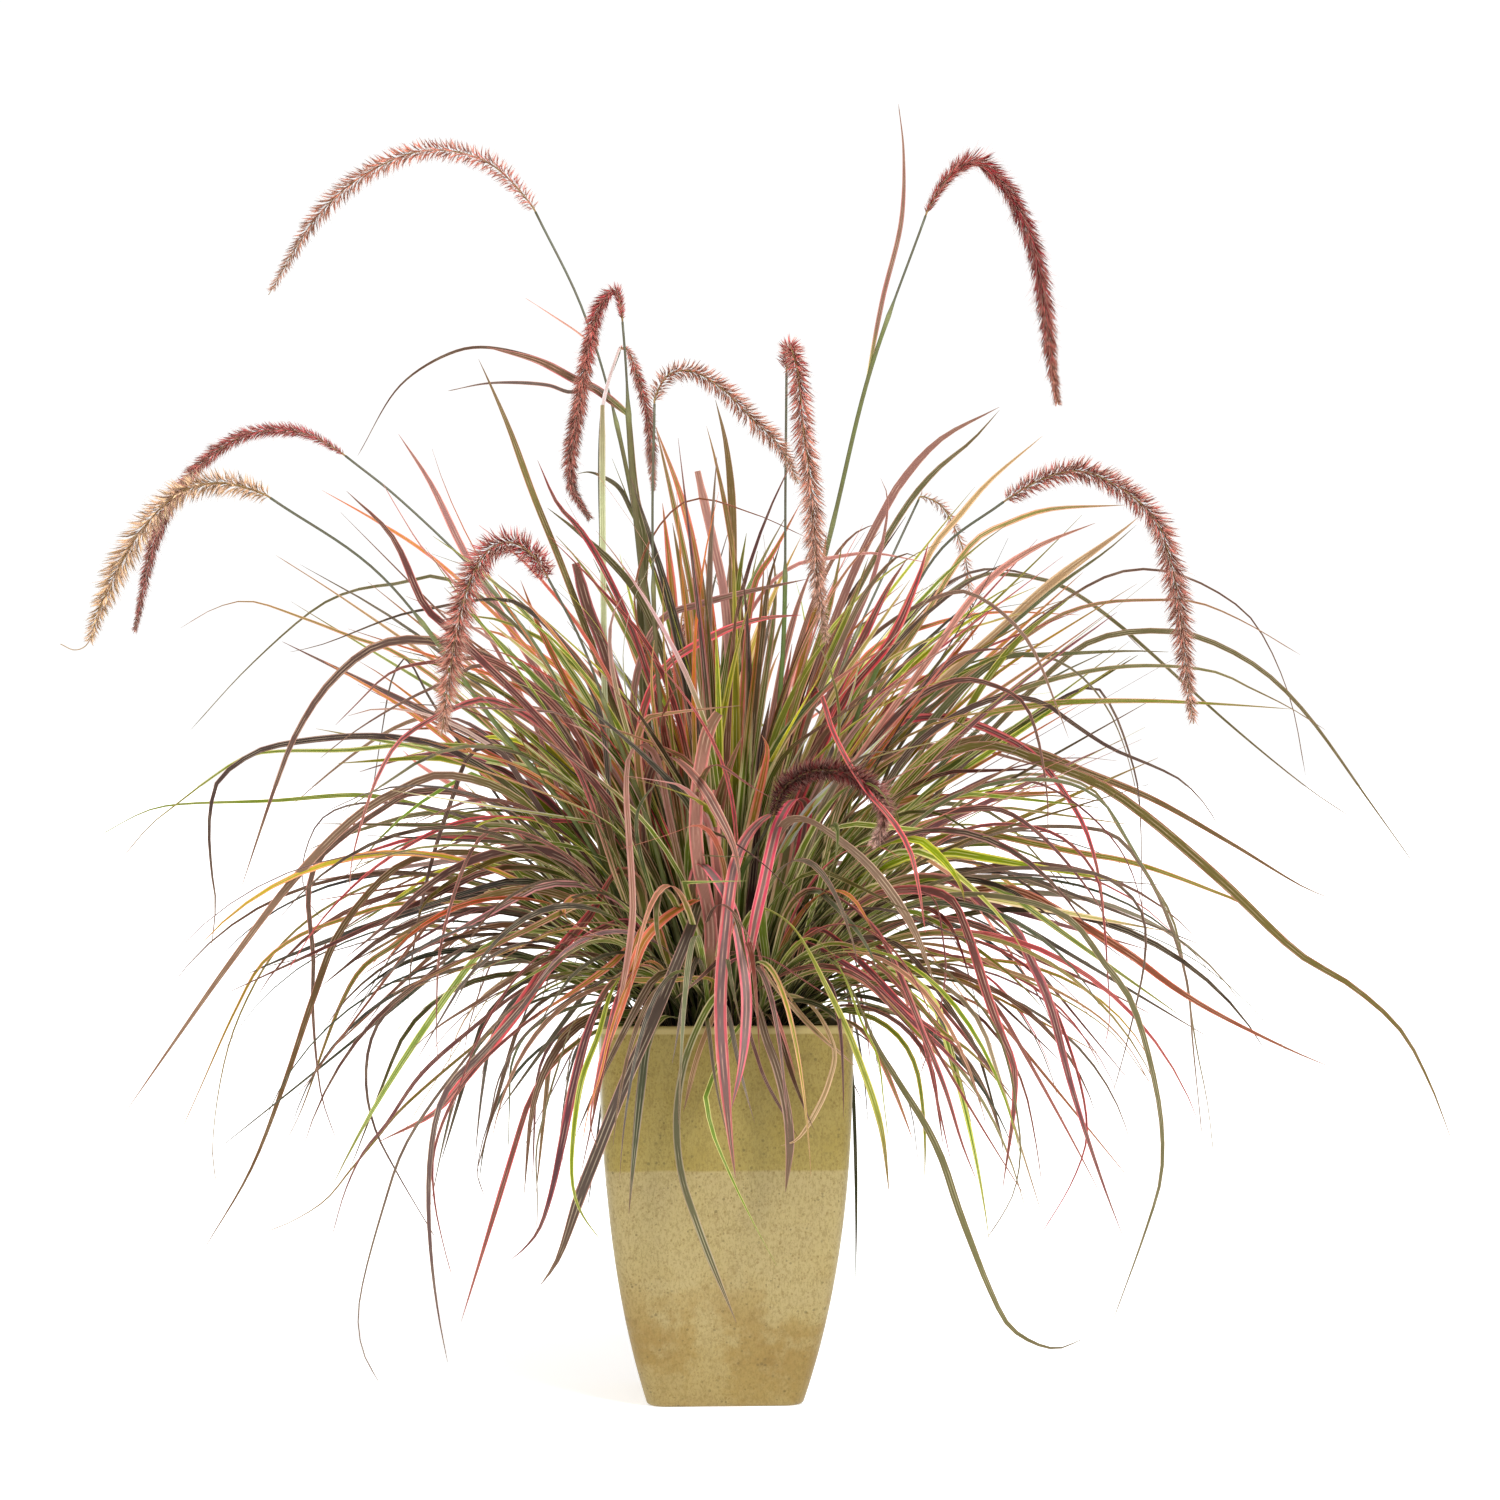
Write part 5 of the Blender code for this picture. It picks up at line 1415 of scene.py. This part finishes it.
def bump(nodes, shader, height, strength, distance):
    """Fine relief from a height."""
    made = nodes.add("Bump")
    made.inputs["Strength"].default_value = strength
    made.inputs["Distance"].default_value = distance
    nodes.link(height, made.inputs["Height"])
    nodes.link(made.outputs[0], shader.inputs["Normal"])


def mottle_group():
    """A node group: patchy light and dark from two sizes of noise, as a mask from 0 to 1."""
    tree = bpy.data.node_groups.new("mottle", "ShaderNodeTree")
    tree.interface.new_socket("Place", in_out="INPUT", socket_type="NodeSocketVector")
    size = tree.interface.new_socket("Scale", in_out="INPUT", socket_type="NodeSocketFloat")
    size.default_value = 40.0
    tree.interface.new_socket("Mask", in_out="OUTPUT", socket_type="NodeSocketFloat")
    nodes = Nodes(tree)
    inside = tree.nodes.new("NodeGroupInput")
    outside = tree.nodes.new("NodeGroupOutput")
    coarse = nodes.add("TexNoise")
    fine = nodes.add("TexNoise")
    nodes.link(inside.outputs["Place"], coarse.inputs["Vector"])
    nodes.link(inside.outputs["Place"], fine.inputs["Vector"])
    nodes.link(inside.outputs["Scale"], coarse.inputs["Scale"])
    nodes.link(nodes.math("MULTIPLY", inside.outputs["Scale"], 4.7), fine.inputs["Scale"])
    both = nodes.math("ADD", coarse.outputs[0], nodes.math("MULTIPLY", fine.outputs[0], 0.5))
    nodes.link(nodes.smooth(both, 0.5, 1.0), outside.inputs["Mask"])
    return tree


def mottle(nodes, group, scale):
    """The mask of the mottle group on the object's own place."""
    made = nodes.add("Group", node_tree=group)
    nodes.link(nodes.object_place(), made.inputs["Place"])
    made.inputs["Scale"].default_value = scale
    return made.outputs["Mask"]


def leaf_finish(group):
    """A striped blade: the middle's colour, the margins' colour in a crisp band along both
    edges, a paler rim, light and dark lengthwise lines at places of the leaf's own, fine veins
    and a little mottling."""
    finish, nodes, shader = new_finish("grass_blade", 0.5, 0.2)
    place = nodes.object_place()
    across = nodes.attribute("across")
    leaf = nodes.attribute("leaf")
    middle, margin = nodes.attribute("middle_colour", True), nodes.attribute("margin_colour", True)
    edge = nodes.math("ABSOLUTE", across)
    wander = nodes.math("MULTIPLY_ADD", nodes.noise(22.0, 2.0, place), 0.4, -0.2)
    start = nodes.math("ADD", nodes.attribute("edge_from"), wander)
    band = nodes.smooth(edge, start, nodes.math("ADD", start, 0.14))
    color = nodes.mix(band, middle, margin)
    color = nodes.tint(color, nodes.smooth(edge, 0.84, 0.96), 0.4, (0.88, 0.54, 0.42, 1))
    turned = nodes.math("MULTIPLY_ADD", leaf, 17.0, nodes.math("MULTIPLY", across, 9.0))
    wave = nodes.math("SINE", turned)
    broken = nodes.smooth(nodes.noise(38.0, 2.0, place), 0.38, 0.6)
    light = nodes.math("MULTIPLY", nodes.smooth(wave, 0.6, 1.0), broken)
    pale = nodes.mix(0.5, margin, (0.82, 0.72, 0.48, 1))
    color = nodes.tint(color, light, 0.6, pale)
    trough = nodes.math("MULTIPLY", wave, -1.0)
    shaded = nodes.math("MULTIPLY", nodes.smooth(trough, 0.3, 1.0), broken)
    dark = nodes.mix(1.0, middle, (0.5, 0.42, 0.36, 1), "MULTIPLY")
    color = nodes.tint(color, shaded, 0.5, dark)
    veins = nodes.math("SINE", nodes.math("MULTIPLY", across, 31.0))
    veins = nodes.math("MULTIPLY_ADD", veins, 0.5, 0.5)
    color = nodes.tint(color, veins, 0.14, (0.04, 0.03, 0.008, 1))
    color = nodes.tint(color, mottle(nodes, group, 55.0), 0.12, (0.06, 0.03, 0.015, 1))
    nodes.link(color, shader.inputs["Base Color"])
    bump(nodes, shader, veins, 0.25, 0.0004)
    return finish


def stalk_finish(group):
    """A green stalk, darker and browner towards its head, with pale joints."""
    finish, nodes, shader = new_finish("flower_stalk", 0.45)
    color = nodes.mix(nodes.attribute("green"), (0.115, 0.095, 0.03, 1), (0.115, 0.185, 0.035, 1))
    color = nodes.mix(nodes.attribute("bare"), color, (0.085, 0.09, 0.05, 1))
    color = nodes.tint(color, nodes.attribute("joint"), 0.7, (0.24, 0.26, 0.1, 1))
    color = nodes.tint(color, mottle(nodes, group, 90.0), 0.3, (0.10, 0.05, 0.03, 1))
    nodes.link(color, shader.inputs["Base Color"])
    bump(nodes, shader, nodes.noise(600.0, 2.0, nodes.object_place()), 0.2, 0.0003)
    return finish


def bristle_finish(group):
    """A flower spike: each spikelet's own colour, darker in patches."""
    finish, nodes, shader = new_finish("spike_bristles", 0.7, 0.05)
    own = nodes.attribute("spike_colour", True)
    dark = nodes.mix(1.0, own, (0.55, 0.42, 0.42, 1), "MULTIPLY")
    color = nodes.tint(own, mottle(nodes, group, 120.0), 0.5, dark)
    nodes.link(color, shader.inputs["Base Color"])
    return finish


def specks(nodes, place, scale, share, size):
    """Round specks scattered by cells of noise: `share` of the cells hold one, as large as
    `size` of a cell at most."""
    cells = nodes.add("TexVoronoi")
    cells.inputs["Scale"].default_value = scale
    nodes.link(place, cells.inputs["Vector"])
    split = nodes.add("SeparateColor")
    nodes.link(cells.outputs["Color"], split.inputs[0])
    held = nodes.smooth(split.outputs[0], 1 - share, 1.05 - share)
    reach = nodes.math("MULTIPLY_ADD", split.outputs[1], size * 0.7, size * 0.3)
    edge = nodes.math("SUBTRACT", reach, 0.12)
    return nodes.math("MULTIPLY", held, nodes.below(cells.outputs["Distance"], edge, reach))


def glaze_finish(group):
    """Speckled stoneware glaze: olive over the glaze line, sandier under it, with tan clouds low
    down, fine grain, dark and rusty specks, a paler band painted on the lip as the highlight where
    light catches its rounded top, and a gloss that varies a little."""
    finish, nodes, shader = new_finish("speckled_glaze", 0.42, 0.26)
    place = nodes.object_place()
    split = nodes.add("SeparateXYZ")
    nodes.link(place, split.inputs[0])
    height = split.outputs[2]
    wave = nodes.math("MULTIPLY", nodes.noise(14.0, 1.0, place), 0.004)
    upper = nodes.smooth(nodes.math("ADD", height, wave), GLAZE_LINE, GLAZE_LINE + 0.003)
    color = nodes.mix(upper, (0.335, 0.264, 0.116, 1), (0.268, 0.202, 0.046, 1))
    clouds = nodes.smooth(nodes.noise(15.0, 5.0, place, 0.65), 0.44, 0.6)
    low = nodes.math("MULTIPLY", clouds, nodes.below(height, 0.06, 0.17))
    color = nodes.tint(color, low, 0.88, (0.215, 0.122, 0.024, 1))
    color = nodes.tint(color, nodes.below(height, 0.0, 0.13), 0.55, (0.22, 0.145, 0.034, 1))
    color = nodes.tint(color, mottle(nodes, group, 30.0), 0.22, (0.38, 0.31, 0.11, 1))
    drawn = nodes.add("Mapping")
    drawn.inputs["Scale"].default_value = (1.0, 1.0, 0.5)
    nodes.link(place, drawn.inputs["Vector"])
    grain = nodes.smooth(nodes.noise(420.0, 5.0, drawn.outputs[0], 0.8), 0.44, 0.62)
    color = nodes.tint(color, grain, 0.5, (0.16, 0.11, 0.026, 1))
    flecks = nodes.smooth(nodes.noise(75.0, 7.0, place, 0.8), 0.52, 0.66)
    color = nodes.tint(color, flecks, 0.34, (0.15, 0.09, 0.02, 1))
    drift = nodes.math("MULTIPLY_ADD", nodes.noise(42.0, 3.0, place), 1.2, 0.1)
    rust = nodes.math("MULTIPLY", specks(nodes, place, 330.0, 0.4, 0.5), drift)
    color = nodes.tint(color, rust, 0.5, (0.15, 0.085, 0.015, 1))
    dark = nodes.math("MULTIPLY", specks(nodes, place, 260.0, 0.2, 0.46), drift)
    color = nodes.tint(color, dark, 0.6, (0.07, 0.05, 0.014, 1))
    # A paler band painted along the lip: the highlight where light catches its rounded top
    color = nodes.tint(color, nodes.smooth(height, *LIP_HIGHLIGHT_BAND), 0.7, (0.46, 0.37, 0.16, 1))
    nodes.link(color, shader.inputs["Base Color"])
    rough = nodes.math("MULTIPLY_ADD", nodes.noise(60.0, 2.0, place), 0.18, 0.3)
    nodes.link(rough, shader.inputs["Roughness"])
    ripple = nodes.math("ADD", nodes.noise(35.0, 2.0, place), nodes.math("MULTIPLY", dark, -0.15))
    bump(nodes, shader, ripple, 0.18, 0.001)
    return finish


def soil_finish(group):
    """Dark crumbly soil with paler bark chips."""
    finish, nodes, shader = new_finish("crumbly_soil", 0.95, 0.2)
    chip = nodes.smooth(nodes.attribute("chip"), 0.7, 1.0)
    patches = mottle(nodes, group, 160.0)
    color = nodes.mix(patches, (0.030, 0.020, 0.014, 1), (0.085, 0.055, 0.035, 1))
    color = nodes.mix(chip, color, (0.20, 0.12, 0.06, 1))
    nodes.link(color, shader.inputs["Base Color"])
    bump(nodes, shader, nodes.noise(350.0, 5.0, nodes.object_place()), 0.9, 0.002)
    return finish


def make_stage():
    """A plain white floor, and a white surround that lights the object softly from all round
    and shows brighter behind it."""
    mesh = bpy.data.meshes.new("floor")
    low, high = -FLOOR_REACH, FLOOR_REACH
    corners = [(low, low, 0), (high, low, 0), (high, high, 0), (low, high, 0)]
    mesh.from_pydata(corners, [], [(0, 1, 2, 3)])
    floor = bpy.data.objects.new("floor", mesh)
    finish, _, shader = new_finish("floor_white", 0.9, 0.1)
    shader.inputs["Base Color"].default_value = (0.95, 0.95, 0.95, 1)
    shader.inputs["Emission Color"].default_value = (1, 1, 1, 1)
    shader.inputs["Emission Strength"].default_value = FLOOR_GLOW
    mesh.materials.append(finish)
    bpy.context.scene.collection.objects.link(floor)
    world = bpy.data.worlds.new("studio")
    bpy.context.scene.world = world
    world.use_nodes = True
    nodes = Nodes(world.node_tree)
    backdrop = world.node_tree.nodes["Background"]
    backdrop.inputs["Color"].default_value = (1, 1, 1, 1)
    seen = nodes.add("LightPath").outputs["Is Camera Ray"]
    strength = nodes.math("MULTIPLY_ADD", seen, BACKDROP - AMBIENT, AMBIENT)
    nodes.link(strength, backdrop.inputs["Strength"])


def soft_sun(name, azimuth, elevation, power, spread):
    """A broad sun: where it stands, in degrees round from the right and above the floor, its
    power and the angle that it fills."""
    lamp = bpy.data.lights.new(name, "SUN")
    lamp.energy = power
    lamp.angle = math.radians(spread)
    holder = bpy.data.objects.new(name, lamp)
    turn, climb = math.radians(azimuth), math.radians(elevation)
    level = math.cos(climb)
    way = Vector((math.cos(turn) * level, math.sin(turn) * level, math.sin(climb)))
    holder.rotation_mode = "QUATERNION"
    holder.rotation_quaternion = way.to_track_quat("Z", "Y")
    bpy.context.scene.collection.objects.link(holder)


def make_camera():
    """A level camera at the viewer's place."""
    lens = bpy.data.cameras.new("viewer")
    lens.sensor_width = SENSOR
    lens.lens = SENSOR * EYE_DISTANCE / VIEW_WIDTH
    lens.clip_end = 200
    camera = bpy.data.objects.new("viewer", lens)
    place = to_frame([EYE_ACROSS, -EYE_DISTANCE, EYE_HEIGHT])
    camera.location = place
    camera.rotation_mode = "QUATERNION"
    camera.rotation_quaternion = Vector(to_frame(AWAY)).to_track_quat("-Z", "Y")
    bpy.context.scene.collection.objects.link(camera)
    bpy.context.scene.camera = camera


def main():
    """The stage and the light, then the planter, the soil, the tufts and the flowers."""
    make_camera()
    make_stage()
    for name, sun in SUNS.items():
        soft_sun(name, *sun)
    bpy.context.scene.view_settings.view_transform = "Standard"
    group = mottle_group()
    blade = leaf_finish(group)
    stalk = stalk_finish(group)
    bristle = bristle_finish(group)
    planter_piece(glaze_finish(group))
    soil_piece(soil_finish(group))
    tuft_pieces(blade)
    for number, (degrees, stem_points, spike_points, *habit) in enumerate(FLOWERS, 1):
        stem, spike = flower_routes(degrees, stem_points, spike_points)
        stem_piece(number, stem, stalk)
        spike_piece(number, spike, habit, bristle)
        for leaf_number, (carrier, *leaf) in enumerate(FLAG_LEAVES, 1):
            if carrier == number:
                flag_leaf(leaf_number, stem, *leaf, blade)


main()
